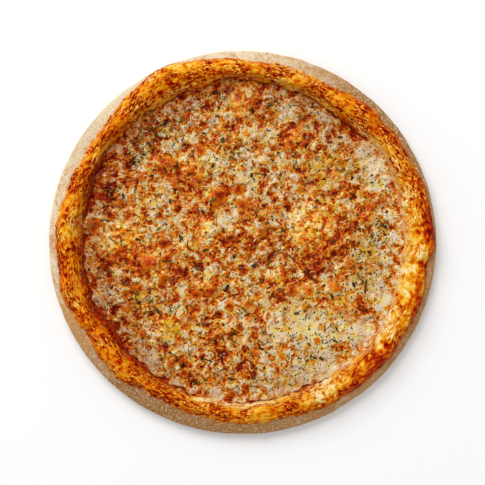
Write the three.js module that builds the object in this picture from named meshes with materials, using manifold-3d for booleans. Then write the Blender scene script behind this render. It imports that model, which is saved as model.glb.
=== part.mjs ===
// A whole, uncut margherita pizza, 300 mm across.
// One piece of dough makes the base and the raised rim, a thin layer of tomato sauce lies in its bed, and
// melted cheese with browned mounds and dried oregano lies on the sauce.
// Millimetres, +Z up. The origin is the middle of the flat underside. Angles run from +X towards +Y.
import * as THREE from "three";
import { mergeVertices } from "three/addons/utils/BufferGeometryUtils.js";
import Module from "manifold-3d";

// ---------- driving dimensions ----------
const OUTER_RADIUS = 149.3; // widest reach of the dough
const OVAL = 0.75; // the pizza is this much longer along X and shorter along Y
const FOOT_INSET = 9; // the flat underside ends this far inside the widest reach
const WIDEST_HEIGHT = 8.5;
const ROLL_RADIUS = 138.5; // outer edge of the baked roll on top of the rim, between puffs
const ROLL_EDGE_HEIGHT = 16.5;
const CREST_HEIGHT = 21;
const CREST_INSET = 7.5; // crest of the roll, inside the roll's outer edge
const LEAST_WALL_RUN = 8.5; // the crest stays at least this far outside the foot of the inner wall
const BED_RADIUS = 124; // where the rim's inner wall meets the toppings
const BED_HEIGHT = 6;
const GAP = 0.3; // between two touching pieces
const SAUCE_THICKNESS = 1.1;
const CHEESE_THICKNESS = 2.4;
const SAUCE_INSET = 1.4; // inside the foot of the inner wall
const CHEESE_INSET = 2.6;
const CHEESE_EDGE_THINNING = 1.5; // the cheese is this much thinner at its edge
const AROUND = 160; // steps round the rim

const SAUCE_BOTTOM = BED_HEIGHT + GAP;
const SAUCE_TOP = SAUCE_BOTTOM + SAUCE_THICKNESS;
const CHEESE_BOTTOM = SAUCE_TOP + GAP;
const CHEESE_LEVEL = CHEESE_BOTTOM + CHEESE_THICKNESS;

const TURN = 2 * Math.PI;

// The floured side, from the foot up: how far inside the widest reach, and height.
const SIDE_CURVE = [
  { inset: FOOT_INSET, height: 0 },
  { inset: 4.2, height: 1.1 },
  { inset: 1.2, height: 4 },
  { inset: 0, height: WIDEST_HEIGHT },
];

// The inner wall, from the crest's side down to the bed: how far outside the wall's foot, and height.
const WALL_CURVE = [
  { outset: 2.3, height: 12 },
  { outset: 0.3, height: 8.6 },
  { outset: -0.8, height: BED_HEIGHT },
];

// Puffs of the rim: angle, half width in degrees, and how far the roll leans out there, or in where negative.
const PUFFS = [
  { at: 1, spread: 9.5, lean: 9 },
  { at: 17, spread: 9, lean: 7.4 },
  { at: 34, spread: 8, lean: 4.6 },
  { at: 47, spread: 7, lean: 4.5 },
  { at: 62, spread: 7, lean: -1.2 },
  { at: 96, spread: 8, lean: 2 },
  { at: 115, spread: 13, lean: 10 },
  { at: 132, spread: 6, lean: 1.5 },
  { at: 148, spread: 11, lean: -4.5 },
  { at: 165, spread: 7, lean: 1 },
  { at: 178, spread: 11, lean: 5.2 },
  { at: 197, spread: 8, lean: 6 },
  { at: 225, spread: 8, lean: 2.3 },
  { at: 246, spread: 11, lean: -4.5 },
  { at: 300, spread: 8, lean: 3 },
  { at: 308, spread: 7, lean: 1.5 },
  { at: 322, spread: 11, lean: 4.6 },
  { at: 341, spread: 10, lean: 6 },
];
const RISE_PER_LEAN = 0.16; // a puff that leans out also stands higher
const SAG_PER_LEAN = 0.35; // and its outer edge hangs lower

// Creases that pinch the roll between two puffs: angle, half width in degrees and depth.
const CREASES = [
  { at: 22, spread: 2.4, depth: 2.2 },
  { at: 40.5, spread: 2.2, depth: 2 },
  { at: 58, spread: 2.6, depth: 1.2 },
  { at: 133, spread: 2.6, depth: 1.5 },
  { at: 210, spread: 2.4, depth: 1.8 },
  { at: 236, spread: 2.6, depth: 1.2 },
  { at: 266, spread: 2.2, depth: 2 },
  { at: 284, spread: 2.2, depth: 1.8 },
  { at: 303, spread: 2.4, depth: 2.2 },
  { at: 353, spread: 2.6, depth: 2 },
];
const PULL_PER_PINCH = 0.7; // a crease also pulls the roll in
const SAG_PER_PINCH = 0.3; // and its outer edge down

// The inner edge of the rim wavers: angle, half width and shift outwards.
const BED_BAYS = [
  { at: 30, spread: 10, lean: 3.2 },
  { at: 52, spread: 8, lean: -2 },
  { at: 92, spread: 12, lean: 2.6 },
  { at: 150, spread: 18, lean: 2.2 },
  { at: 203, spread: 6, lean: 2 },
  { at: 217, spread: 8, lean: -2.6 },
  { at: 290, spread: 14, lean: -1.2 },
  { at: 322, spread: 4, lean: 2.4 },
  { at: 350, spread: 16, lean: -1.8 },
];

// Mounds of shredded cheese that browned as they stood above the rest: place, reach and height.
const MOUNDS = [
  { x: -95, y: 2, reach: 18, height: 5.2 },
  { x: 2, y: 110, reach: 15, height: 4 },
  { x: 55, y: 8, reach: 21, height: 5.6 },
  { x: -60, y: 60, reach: 9, height: 3.6 },
  { x: -40, y: 56, reach: 11, height: 2.6 },
  { x: -22, y: 36, reach: 9, height: 3.4 },
  { x: -43, y: -3, reach: 9, height: 3.4 },
  { x: -67, y: -15, reach: 12, height: 3.2 },
  { x: -28, y: 11, reach: 13, height: 3 },
  { x: -28, y: -34, reach: 11, height: 3 },
  { x: 44, y: 82, reach: 11, height: 3.2 },
  { x: 96, y: 19, reach: 9, height: 2.2 },
  { x: 83, y: -19, reach: 9, height: 2.2 },
  { x: 71, y: -34, reach: 7, height: 2.4 },
  { x: 49, y: -37, reach: 9, height: 2.4 },
  { x: 26, y: -29, reach: 10, height: 3 },
  { x: -8, y: 76, reach: 13, height: 2.4 },
  { x: -8, y: -72, reach: 14, height: 2.2 },
  { x: -58, y: -62, reach: 13, height: 2.2 },
];

const MOUND_FALL = 1.6; // how fast a mound falls off towards its reach

const OREGANO_FLAKES = 64; // the largest flakes
const FLAKE_LENGTH = { least: 3.4, spread: 1.8 };
const FLAKE_SLIMNESS = { least: 0.34, spread: 0.22 }; // width as a share of length
const FLAKE_THICKNESS = 0.9;
const FLAKE_SUNK = 0.215; // how far its underside lies in the cheese
const FLAKE_TILT = 0.3;
const FLAKE_LIMIT = 0.93; // of the cheese's radius
const GOLDEN_ANGLE = Math.PI * (3 - Math.sqrt(5));

// ---------- shared rules ----------
// Angle from one direction to another, from -180 to 180 degrees.
const degreesBetween = (a, b) => ((((a - b) % 360) + 540) % 360) - 180;

// Sum of soft humps round the rim at an angle in degrees, each with a height under the key that is named.
const humps = (list, key, degrees) =>
  list.reduce(
    (sum, h) =>
      sum + h[key] * Math.exp(-((degreesBetween(degrees, h.at) / h.spread) ** 2)),
    0,
  );

// A repeatable number from 0 to 1 for whole numbers i and k.
const scatter = (i, k) => {
  const s = Math.sin(i * 127.1 + k * 311.7) * 43758.5453;
  return s - Math.floor(s);
};

// Fine unevenness is a sum of ripples: times round the rim, start in radians and height.
const ripples = (list, a) =>
  list.reduce((sum, [times, start, height]) => sum + height * Math.sin(times * a + start), 0);
const ROLL_LUMPS = [
  [19, 1, 0.33],
  [31, 2.6, 0.26],
];
const BED_WAVER = [
  [23, 0.7, 0.5],
  [37, 2, 0.35],
];
const CHEESE_WAVER = [
  [9, 1.2, 0.8],
  [16, 0, 0.7],
  [41, 0, 0.5],
];

const outerRadius = (a) => OUTER_RADIUS + OVAL * Math.cos(2 * a);
const bedRadius = (a) =>
  BED_RADIUS + humps(BED_BAYS, "lean", THREE.MathUtils.radToDeg(a)) + ripples(BED_WAVER, a);

// ---------- crust ----------
// Section of the dough at angle a as [radius, height] pairs, from the middle of the underside, out and over the
// rim, to the middle of the bed.
function crustSection(a) {
  const { lerp, radToDeg } = THREE.MathUtils;
  const lean = humps(PUFFS, "lean", radToDeg(a));
  const pinch = humps(CREASES, "depth", radToDeg(a));
  const lumps = ripples(ROLL_LUMPS, a);
  const outer = outerRadius(a);
  const bed = bedRadius(a);
  const roll = ROLL_RADIUS + lean - PULL_PER_PINCH * pinch + lumps;
  const edge = ROLL_EDGE_HEIGHT - SAG_PER_LEAN * Math.max(lean, 0) - SAG_PER_PINCH * pinch;
  const crest = CREST_HEIGHT + RISE_PER_LEAN * lean - pinch + lumps;
  const crestRadius = Math.max(roll - CREST_INSET, bed + LEAST_WALL_RUN);
  const side = SIDE_CURVE.map(({ inset, height }) => [outer - inset, height]);
  const overRoll = [
    [lerp(outer, roll, 0.4) + 0.3, 12.2], // top of the floured side
    [roll - 0.1, edge - 0.6], // outer edge of the roll
    [roll - 1.2, lerp(edge, crest, 0.5)],
    [lerp(roll, crestRadius, 0.5), crest - 1],
    [crestRadius, crest],
    [crestRadius - 4.2, crest - 1.4],
    [lerp(bed, crestRadius, 0.38), crest - 4.8], // top of the inner wall
  ];
  const wall = WALL_CURVE.map(({ outset, height }) => [bed + outset, height]);
  return [[0, 0], ...side, ...overRoll, ...wall, [0, BED_HEIGHT]];
}

// A closed solid of revolution whose section changes with the angle.
function turned(section, around) {
  const profile = section(0).map(([r, z]) => new THREE.Vector2(r, z));
  const geometry = new THREE.LatheGeometry(profile, around);
  const position = geometry.getAttribute("position");
  for (let i = 0; i <= around; i++) {
    const a = (TURN * (i % around)) / around;
    section(a).forEach(([r, z], j) =>
      position.setXYZ(i * profile.length + j, r * Math.cos(a), r * Math.sin(a), z),
    );
  }
  return geometry;
}

// ---------- tomato sauce ----------
// The sauce is spread to the foot of the rim's inner wall.
function sauceSection(a) {
  const edge = bedRadius(a) - SAUCE_INSET;
  return [
    [0, SAUCE_BOTTOM],
    [edge, SAUCE_BOTTOM],
    [edge + 0.2, SAUCE_BOTTOM + 0.6 * SAUCE_THICKNESS],
    [edge - 0.6, SAUCE_TOP],
    [0, SAUCE_TOP],
  ];
}

// ---------- cheese ----------
const CHEESE_STEPS = 46; // grid steps across the cheese
const cheeseRadius = (a) => bedRadius(a) - CHEESE_INSET - ripples(CHEESE_WAVER, a);

// Height of the cheese at a point: its level, long swells and the mounds. It is thinner as nearness goes from 0 in
// the middle to 1 at the edge.
function cheeseTop(x, y, nearness) {
  const swell =
    0.45 * Math.sin(x / 9.1 + 1.3) * Math.cos(y / 11.7 - 0.4) +
    0.4 * Math.sin((x + y) / 7.3) * Math.sin((x - y) / 8.9 + 2) +
    0.25 * Math.sin(x / 3.9 + 0.5) * Math.sin(y / 4.3 + 1.1);
  const mounds = MOUNDS.reduce((sum, m) => {
    const away = Math.hypot(x - m.x, y - m.y) / m.reach;
    return sum + m.height * Math.exp(-(away ** 2) * MOUND_FALL);
  }, 0);
  return CHEESE_LEVEL + swell + mounds - CHEESE_EDGE_THINNING * nearness ** 10;
}

// A square grid is drawn out to the cheese's round, wavering outline, given that top, and closed below.
function cheeseGeometry() {
  const n = CHEESE_STEPS;
  const top = new THREE.PlaneGeometry(2, 2, n, n);
  const grid = top.getAttribute("position");
  const points = [];
  for (let k = 0; k < grid.count; k++) {
    const [u, v] = [grid.getX(k), grid.getY(k)];
    const nearness = Math.max(Math.abs(u), Math.abs(v));
    const long = nearness || 1;
    const eighth = (Math.PI / 4) * (Math.min(Math.abs(u), Math.abs(v)) / long);
    const first = Math.abs(u) >= Math.abs(v) ? eighth : Math.PI / 2 - eighth;
    const a = Math.atan2(Math.sin(first) * (Math.sign(v) || 1), Math.cos(first) * (Math.sign(u) || 1));
    const r = nearness * cheeseRadius(a);
    const [x, y] = [r * Math.cos(a), r * Math.sin(a)];
    points.push(x, y, cheeseTop(x, y, nearness));
  }
  const faces = Array.from(top.getIndex().array);
  const rim = []; // the grid's outline, anticlockwise from above
  for (let i = 0; i < n; i++) rim.push(n * (n + 1) + i);
  for (let i = 0; i < n; i++) rim.push((n - i) * (n + 1) + n);
  for (let i = 0; i < n; i++) rim.push(n - i);
  for (let i = 0; i < n; i++) rim.push(i * (n + 1));
  const foot = points.length / 3;
  rim.forEach((k) => points.push(points[3 * k], points[3 * k + 1], CHEESE_BOTTOM));
  const middle = points.length / 3;
  points.push(0, 0, CHEESE_BOTTOM);
  rim.forEach((k, i) => {
    const next = (i + 1) % rim.length;
    faces.push(k, foot + i, rim[next], rim[next], foot + i, foot + next);
    faces.push(foot + next, foot + i, middle);
  });
  const geometry = new THREE.BufferGeometry();
  geometry.setAttribute("position", new THREE.Float32BufferAttribute(points, 3));
  geometry.setIndex(faces);
  return geometry;
}

// ---------- dried oregano ----------
// One flake: a thin, pointed leaf bit, lying a little tilted on the cheese and a little sunk into it.
function flakeGeometry(i) {
  const length = FLAKE_LENGTH.least + FLAKE_LENGTH.spread * scatter(i, 1);
  const width = length * (FLAKE_SLIMNESS.least + FLAKE_SLIMNESS.spread * scatter(i, 2));
  const outline = [
    [-0.5, 0],
    [-0.18, -0.5],
    [0.25, -0.42],
    [0.5, 0.06],
    [0.16, 0.5],
    [-0.24, 0.4],
  ].map(([u, v]) => new THREE.Vector2(u * length, v * width));
  const geometry = new THREE.ExtrudeGeometry(new THREE.Shape(outline), {
    depth: FLAKE_THICKNESS,
    bevelEnabled: false,
  });
  const share = Math.sqrt((i + 0.5) / OREGANO_FLAKES);
  const a = i * GOLDEN_ANGLE + 0.5 * scatter(i, 3);
  const nearness = Math.min(FLAKE_LIMIT, share * 0.95 + 0.06 * (scatter(i, 4) - 0.5));
  const r = nearness * cheeseRadius(a);
  const [x, y] = [r * Math.cos(a), r * Math.sin(a)];
  geometry.translate(0, 0, -FLAKE_SUNK);
  geometry.rotateZ(TURN * scatter(i, 5));
  geometry.rotateX(FLAKE_TILT * (scatter(i, 6) - 0.5));
  geometry.translate(x, y, cheeseTop(x, y, nearness));
  return geometry;
}

const wasm = await Module();
wasm.setup();

// Closed geometry to a solid that can be joined, and back.
function toSolid(geometry) {
  const bare = geometry.clone();
  bare.deleteAttribute("normal");
  bare.deleteAttribute("uv");
  const merged = mergeVertices(bare, 1e-4);
  return new wasm.Manifold(
    new wasm.Mesh({
      numProp: 3,
      vertProperties: merged.getAttribute("position").array,
      triVerts: new Uint32Array(merged.getIndex().array),
    }),
  );
}

function toGeometry(solid) {
  const mesh = solid.getMesh();
  const geometry = new THREE.BufferGeometry();
  geometry.setAttribute("position", new THREE.BufferAttribute(mesh.vertProperties, 3));
  geometry.setIndex(new THREE.BufferAttribute(mesh.triVerts, 1));
  geometry.computeVertexNormals();
  return geometry;
}

// The cheese with its largest flakes fused on.
function cheeseWithOregano() {
  let solid = toSolid(cheeseGeometry());
  for (let i = 0; i < OREGANO_FLAKES; i++) solid = solid.add(toSolid(flakeGeometry(i)));
  return toGeometry(solid);
}

// ---------- the pizza ----------
function piece(name, geometry, color, roughness) {
  const mesh = new THREE.Mesh(
    geometry,
    new THREE.MeshStandardMaterial({ color, roughness, metalness: 0 }),
  );
  mesh.name = name;
  return mesh;
}

const pizza = new THREE.Group();
pizza.add(piece("crust", turned(crustSection, AROUND), 0xc98a3c, 0.8));
pizza.add(piece("tomato_sauce", turned(sauceSection, AROUND), 0x9c2c10, 0.45));
pizza.add(piece("cheese", cheeseWithOregano(), 0xe0bc74, 0.5));

export default pizza;
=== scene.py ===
import bpy
import numpy as np
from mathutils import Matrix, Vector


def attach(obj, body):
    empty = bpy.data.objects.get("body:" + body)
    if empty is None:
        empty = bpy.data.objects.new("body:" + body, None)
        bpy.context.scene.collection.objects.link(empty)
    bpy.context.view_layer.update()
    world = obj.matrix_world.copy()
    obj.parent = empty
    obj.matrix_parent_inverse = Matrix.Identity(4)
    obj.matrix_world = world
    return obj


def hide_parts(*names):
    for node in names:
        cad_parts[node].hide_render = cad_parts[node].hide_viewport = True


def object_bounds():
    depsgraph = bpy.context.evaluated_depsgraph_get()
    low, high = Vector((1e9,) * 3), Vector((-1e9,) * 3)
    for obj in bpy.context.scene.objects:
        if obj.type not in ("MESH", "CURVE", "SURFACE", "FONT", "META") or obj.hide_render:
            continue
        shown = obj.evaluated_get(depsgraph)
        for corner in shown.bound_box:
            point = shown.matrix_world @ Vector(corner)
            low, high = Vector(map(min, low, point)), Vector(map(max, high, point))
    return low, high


# A whole margherita pizza: baked dough, tomato sauce, melted cheese and dried oregano.
# Forms are worked out in millimetres, with angles from +X towards +Y, and go into their meshes in metres.
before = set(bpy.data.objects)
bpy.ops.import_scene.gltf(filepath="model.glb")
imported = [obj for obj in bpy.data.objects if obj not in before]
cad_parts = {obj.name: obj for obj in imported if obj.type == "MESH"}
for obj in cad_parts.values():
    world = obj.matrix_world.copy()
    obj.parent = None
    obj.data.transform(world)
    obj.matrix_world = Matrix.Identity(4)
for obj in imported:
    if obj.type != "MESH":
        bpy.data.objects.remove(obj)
cad_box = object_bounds()

# ---------- crust ----------
# One piece of dough, pressed out flat and turned up by hand into a rim, floured below and on its side. The
# oven browns and blisters the roll on top, and the side keeps its dry flour. It carries everything else.
MM = 0.001
TURN = 2 * np.pi
OUTER_RADIUS = 149.3  # widest reach of the dough
OVAL = 0.75  # so much more along X and less along Y
FOOT_INSET = 9  # the rounded foot starts this far inside the widest reach
WIDEST_HEIGHT = 8.5
ROLL_RADIUS = 138.5
ROLL_EDGE_HEIGHT = 16.5
CREST_HEIGHT = 21
CREST_INSET = 7.5
BED_RADIUS = 124
BED_HEIGHT = 6
RISE_PER_LEAN = 0.16  # the crest's rise for each millimetre that a puff leans out
# Puffs of the roll: angle and half width in degrees, and how far the roll leans out there.
PUFFS = (
    (1, 9.5, 9), (17, 9, 7.4), (34, 8, 4.6), (47, 7, 4.5), (62, 7, -1.2), (96, 8, 2), (115, 13, 10),
    (132, 6, 1.5), (148, 11, -4.5), (165, 7, 1), (178, 11, 5.2), (197, 8, 6), (225, 8, 2.3),
    (246, 11, -4.5), (300, 8, 3), (308, 7, 1.5), (322, 11, 4.6), (341, 10, 6),
)
# Creases between puffs: angle and half width in degrees, and depth.
CREASES = (
    (22, 2.4, 2.2), (40.5, 2.2, 2), (58, 2.6, 1.2), (133, 2.6, 1.5), (210, 2.4, 1.8), (236, 2.6, 1.2),
    (266, 2.2, 2), (284, 2.2, 1.8), (303, 2.4, 2.2), (353, 2.6, 2),
)
# Bays in the foot of the inner wall: angle and half width in degrees, and how far out it goes.
BED_BAYS = (
    (30, 10, 3.2), (52, 8, -2), (92, 12, 2.6), (150, 18, 2.2), (203, 6, 2), (217, 8, -2.6), (290, 14, -1.2),
    (322, 4, 2.4), (350, 16, -1.8),
)
# Browner and paler stretches of the roll, partly toasting and partly painted light and shade:
# angle and half width in degrees, and how much.
ROLL_TOAST_LIGHT_AND_SHADE = (
    (52, 26, -0.06), (128, 12, 0.02), (158, 16, -0.02), (184, 8, 0.03), (205, 10, 0.06), (242, 8, 0.02),
    (275, 12, -0.2), (300, 10, -0.1), (330, 16, -0.11), (8, 10, -0.06), (319, 4, 0.24), (340, 3, 0.2),
    (30, 14, -0.08), (130, 24, 0.02), (46, 12, 0.06), (106, 9, 0.12), (174, 6, -0.18), (198, 6, -0.1),
    (354, 4, -0.06), (74, 8, -0.1), (114, 8, -0.1), (258, 9, -0.12), (300, 30, 0.04),
)
# Second fold along the inner wall: angle, half width in degrees and height.
INNER_FOLD = (
    (88, 12, 0.7), (107, 14, 1), (128, 12, 0.8), (150, 10, 0.6),
)
# Cheese that ran over the rim: angle, half width in degrees and strength.
RIM_CHEESE = (
    (297, 5, 1), (318, 6, 0.5), (328, 8, 1), (341, 6, 1), (352, 5, 1), (2, 5, 0.7), (13, 7, 0.9),
    (28, 5, 0.4), (105, 5, 0.3),
)
# Where the roll is smooth and soft, with little crackling: angle, half width in degrees and how much.
SOFT_ROLL = (
    (345, 24, 0.55), (312, 12, 0.4), (8, 10, 0.4),
)
# Bubbles, drops and smears of cheese on the rim: place, reach, height, and how much browner they are.
RIM_DABS = (
    (138, -8, 6.5, 0.7, -0.3), (122, -34, 6.5, 0.7, 0), (121, -24, 5, 0.5, -0.1),
    (126, 29.5, 3.8, 1.1, -0.3), (140, -43, 3, 1, 0.36), (114, -70, 6, 0.7, -0.05),
    (111, -76, 4, 0.5, 0.24), (103, -87, 5, -0.3, 0.3), (67, -110, 7, 0.7, -0.26), (60, -118, 5, 0.5, -0.2),
    (62, -127, 3.2, 0.7, 0.3), (113, -60, 5, 0.5, -0.15), (78, -106, 5, 0.4, -0.2), (134, 12, 5, 0.3, 0.2),
    (141, 6, 5, 0.2, 0.24), (139, -20, 5, 0.3, 0.16), (128, -48, 6, 0.3, 0.14), (94, -96, 5, 0.4, -0.15),
    (134, 36, 4, 0.4, -0.15), (118, 55, 4, 0.4, -0.2),
)
# Where the cheese climbs the inner wall and hides its foot: angle, half width in degrees and how much.
MERGING = ((329, 22, 1), (5, 28, 1), (33, 9, 0.35), (277, 8, 0.5))
# Where sauce shows along the foot of the inner wall: angle, half width in degrees and how much.
SAUCE_LINE = (
    (46, 9, 1), (62, 8, 0.6), (28, 6, 0.4), (84, 4, 0.4), (156, 9, 0.9), (168, 5, 0.6), (181, 5, 1),
    (193, 5, 0.8), (204, 5, 0.7), (215, 10, 1), (230, 6, 0.8), (243, 9, 0.6), (273, 10, 0.6), (294, 7, 0.8),
)
# Where the foot of the inner wall is darkest, painted shade in the corner over sauce-browned dough:
# angle, half width in degrees and how much.
WALL_FOOT_SHADE = (
    (46, 8, 0.26), (86, 14, 0.16), (156, 9, 0.4), (170, 5, 0.2), (181, 6, 0.36), (194, 6, 0.34),
    (213, 12, 0.44), (236, 8, 0.15), (226, 8, 0.2),
)
# Where most flour clings to the side, also painted paler there as light on the side facing the lamp:
# angle, half width in degrees and how much.
FLOUR_AND_LIGHT = ((130, 58, 0.8),)
# Where the browned skin reaches down over the side: angle, half width in degrees and how far.
SKIN_REACH = ((146, 9, 2.4), (157, 5, 1.2), (131, 4, 1), (27, 8, 1.4), (10, 6, 1), (248, 6, 0.8))
# Browner stretches of the floured side, partly bare dough and partly painted shade where the side
# turns from the lamp: angle, half width in degrees and how much.
SIDE_BROWNER_AND_SHADE = (
    (335, 22, 0.7), (33, 26, 1.2), (54, 16, 0.3), (275, 30, 0.8), (235, 24, 0.9), (146, 10, 0.24),
)
# Browner and paler stretches of the roll's outer edge, partly toasting and partly painted shade where it
# turns from the lamp and painted light where it faces it: angle, half width in degrees and how much.
EDGE_TOAST_AND_SHADE = (
    (325, 24, 0.26), (2, 14, 0.3), (288, 16, 0.1), (262, 18, 0.1), (215, 24, 0.04), (98, 12, -0.06),
    (27, 11, 0.08), (9, 8, 0.22), (180, 16, 0.1), (40, 14, 0.12), (122, 22, -0.1),
)
# Stretches of the inner wall painted paler as light, or browner as shade where the number is below 0:
# angle, half width in degrees and how much.
WALL_LIGHT_AND_SHADE = (
    (118, 24, -0.04), (172, 18, 0.06), (50, 20, 0.05), (240, 8, 0.1), (261, 9, 0.28), (286, 12, 0.08),
    (326, 9, 0.16), (40, 8, 0.14), (37, 6, 0.1),
)
RIM_RADIUS = 140  # turns angles into lengths along the rim
BLISTER_CELLS = 160  # fields of the roll's blisters round the rim
CRUST_AROUND = 880
CRUST_UNDER_ROWS = 9
CRUST_RIM_ROWS = 90
CRUST_BED_ROWS = 3


def degrees_between(a, b):
    """Angle from b to a, from -180 to 180 degrees."""
    return (a - b + 180) % 360 - 180


def humps(rows, degrees):
    """Sum of soft humps round the rim: each row's last number times exp(-(distance / half width) squared)."""
    return sum(size * np.exp(-((degrees_between(degrees, at) / spread) ** 2)) for at, spread, size in rows)


def rise(value, start, end):
    """0 below start, 1 above end and 3t^2 - 2t^3 between them."""
    t = np.clip((value - start) / (end - start), 0, 1)
    return t * t * (3 - 2 * t)


def hashed(x, y, z, salt):
    """A repeatable number from 0 to 1 for each whole-number place: its numbers times large primes, with the
    bits folded together, multiplied and folded again."""
    h = (x * 73856093) ^ (y * 19349663) ^ (z * 83492791) ^ (salt * 2654435761)
    for _ in range(2):
        h = h & 0xFFFFFFFF
        h = (h ^ (h >> 16)) * 0x45D9F3B
    h = h & 0xFFFFFFFF
    return ((h ^ (h >> 16)) & 0xFFFFFF) / 0xFFFFFF


def ripple(place, size, salt):
    """Smooth noise, mostly from -1 to 1. Each corner of a lattice, size apart, has a slope with hashed parts.
    The heights that the eight corners round a point give it are blended by 6t^5 - 15t^4 + 10t^3."""
    scaled = place / size + salt * np.array([0.13, 0.71, 0.37])
    cell = np.floor(scaled).astype(np.int64)
    t = scaled - cell
    fade = t * t * t * (t * (t * 6 - 15) + 10)
    total = 0
    for corner in np.ndindex(2, 2, 2):
        at = cell + corner
        weight = np.prod(np.where(corner, fade, 1 - fade), axis=-1)
        for k in range(3):
            slope = 2 * hashed(at[..., 0], at[..., 1], at[..., 2], salt * 3 + k) - 1
            total = total + weight * slope * (t[..., k] - corner[k])
    return 1.9 * total


def layered(place, size, salt, layers=3, keep=0.5):
    """Noise in layers, each half the size of the last and keep times its strength."""
    return sum(keep**k * ripple(place, size / 2**k, salt + 17 * k) for k in range(layers))


def cells(x, y, size, salt, wrap=None):
    """Distances to the nearest and second nearest of points scattered one to a square, in squares, and the
    nearest one's own number from 0 to 1. With wrap, the pattern repeats after that many squares along x."""
    u, v = x / size, y / size
    first, second, number = np.full(u.shape, 9.0), np.full(u.shape, 9.0), np.zeros(u.shape)
    for shift in np.ndindex(3, 3):
        cu = np.floor(u).astype(np.int64) + shift[0] - 1
        cv = np.floor(v).astype(np.int64) + shift[1] - 1
        key = cu % wrap if wrap else cu
        away = np.hypot(cu + hashed(key, cv, 0, salt) - u, cv + hashed(key, cv, 1, salt) - v)
        nearer = away < first
        second = np.where(nearer, first, np.minimum(second, away))
        number = np.where(nearer, hashed(key, cv, 2, salt), number)
        first = np.where(nearer, away, first)
    return first, second, number


def rim_section(angle):
    """Radius and height of the dough at fourteen places for each angle: from the foot, out round the floured
    side, up the edge of the roll, over its crest and down the inner wall to the bed. Puffs lean the roll out
    and lift it, creases pinch it and bays shift the foot of the inner wall."""
    degrees = np.degrees(angle)
    lean, pinch = humps(PUFFS, degrees), humps(CREASES, degrees)
    lumps = 0.33 * np.sin(19 * angle + 1) + 0.26 * np.sin(31 * angle + 2.6)
    outer = OUTER_RADIUS + OVAL * np.cos(2 * angle)
    roll = ROLL_RADIUS + lean - 0.7 * pinch + lumps
    crest = CREST_HEIGHT + RISE_PER_LEAN * lean - pinch + lumps
    edge = ROLL_EDGE_HEIGHT - 0.35 * np.maximum(lean, 0) - 0.3 * pinch
    bed = bed_radius(angle)
    top = np.maximum(roll - CREST_INSET, bed + 8.5)
    level = np.ones_like(angle)
    places = (
        (outer - FOOT_INSET, 0 * level),
        (outer - 4.2, 1.1 * level),
        (outer - 1.2, 4 * level),
        (outer, WIDEST_HEIGHT * level),
        (0.4 * roll + 0.6 * outer + 0.3, 12.2 * level),
        (roll - 0.1, edge - 0.6),
        (roll - 1.2, 0.5 * edge + 0.5 * crest),
        (0.5 * top + 0.5 * roll, crest - 1.0),
        (top, crest),
        (top - 4.2, crest - 1.4),
        (0.62 * bed + 0.38 * top, crest - 4.8),
        (bed + 2.3, 12.0 * level),
        (bed + 0.3, 8.6 * level),
        (bed - 0.8, BED_HEIGHT * level),
    )
    return np.array(places).transpose(2, 0, 1)


def bed_radius(angle):
    """Radius of the foot of the inner wall: a circle with bays and two small ripples."""
    ripples = 0.5 * np.sin(23 * angle + 0.7) + 0.35 * np.sin(37 * angle + 2)
    return BED_RADIUS + humps(BED_BAYS, np.degrees(angle)) + ripples


def smooth_through(points, at):
    """Points on a smooth curve through the given ones, at places counted in points: on each stretch the four
    nearest points are weighted by the Catmull-Rom cubic."""
    last = points.shape[1] - 1
    start = np.clip(np.floor(at).astype(int), 0, last - 1)
    t = at - start
    weights = (
        ((-t + 2) * t - 1) * t / 2,
        ((3 * t - 5) * t * t + 2) / 2,
        ((-3 * t + 4) * t + 1) * t / 2,
        (t - 1) * t * t / 2,
    )
    return sum(w[:, None] * points[:, np.clip(start + k - 1, 0, last)] for k, w in enumerate(weights))


def ring_normals(points):
    """Unit normals of a grid that closes round its first direction: the steps round and along, crossed."""
    normals = np.cross(np.roll(points, -1, 0) - np.roll(points, 1, 0), np.gradient(points, axis=1))
    return normals / np.linalg.norm(normals, axis=-1, keepdims=True)


def turned_up(angle, radius, height):
    """Points at each angle, radius and height."""
    return np.stack([radius * np.cos(angle), radius * np.sin(angle), height + 0 * radius], axis=-1)


def ring_faces(around, rows):
    """Corner numbers of the quads of a grid that closes round its first direction, facing out."""
    i, j = np.meshgrid(np.arange(around), np.arange(rows - 1), indexing="ij")
    here, next_ = i * rows + j, (i + 1) % around * rows + j
    return np.stack([here, next_, next_ + 1, here + 1], axis=-1).reshape(-1, 4)


def fan_faces(ring, middle):
    """Corner numbers of the triangles from a closed ring of points to the middle one."""
    return np.stack([np.roll(ring, -1), ring, np.full_like(ring, middle)], axis=-1)


def closed_ring(grid, first_middle, last_middle):
    """Points and faces of a grid that closes round its first direction, with a fan to a middle point at
    either end."""
    around, rows = grid.shape[:2]
    points = np.concatenate([grid.reshape(-1, 3), [first_middle, last_middle]])
    ring = np.arange(around) * rows
    faces = [
        ring_faces(around, rows),
        fan_faces(ring, len(points) - 2),
        fan_faces(ring[::-1] + rows - 1, len(points) - 1),
    ]
    return points, faces


def mesh_piece(name, points, faces, masks, material, slot, *nodes):
    """A smooth mesh from points in millimetres, arrays of corner numbers, and masks that hold a number or a
    vector for each point. It rides on the one body, takes the material and stands for the given nodes. slot
    is not used."""
    mesh = bpy.data.meshes.new(name)
    mesh.from_pydata((points * MM).tolist(), [], [face for rows in faces for face in rows.tolist()])
    mesh.shade_smooth()
    for label, values in masks.items():
        kind, key = ("FLOAT", "value") if values.ndim == 1 else ("FLOAT_VECTOR", "vector")
        mesh.attributes.new(label, kind, "POINT").data.foreach_set(key, values.astype(np.float32).ravel())
    mesh.materials.append(material)
    piece = bpy.data.objects.new(name, mesh)
    bpy.context.scene.collection.objects.link(piece)
    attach(piece, "root")
    if nodes:
        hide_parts(*nodes)


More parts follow.
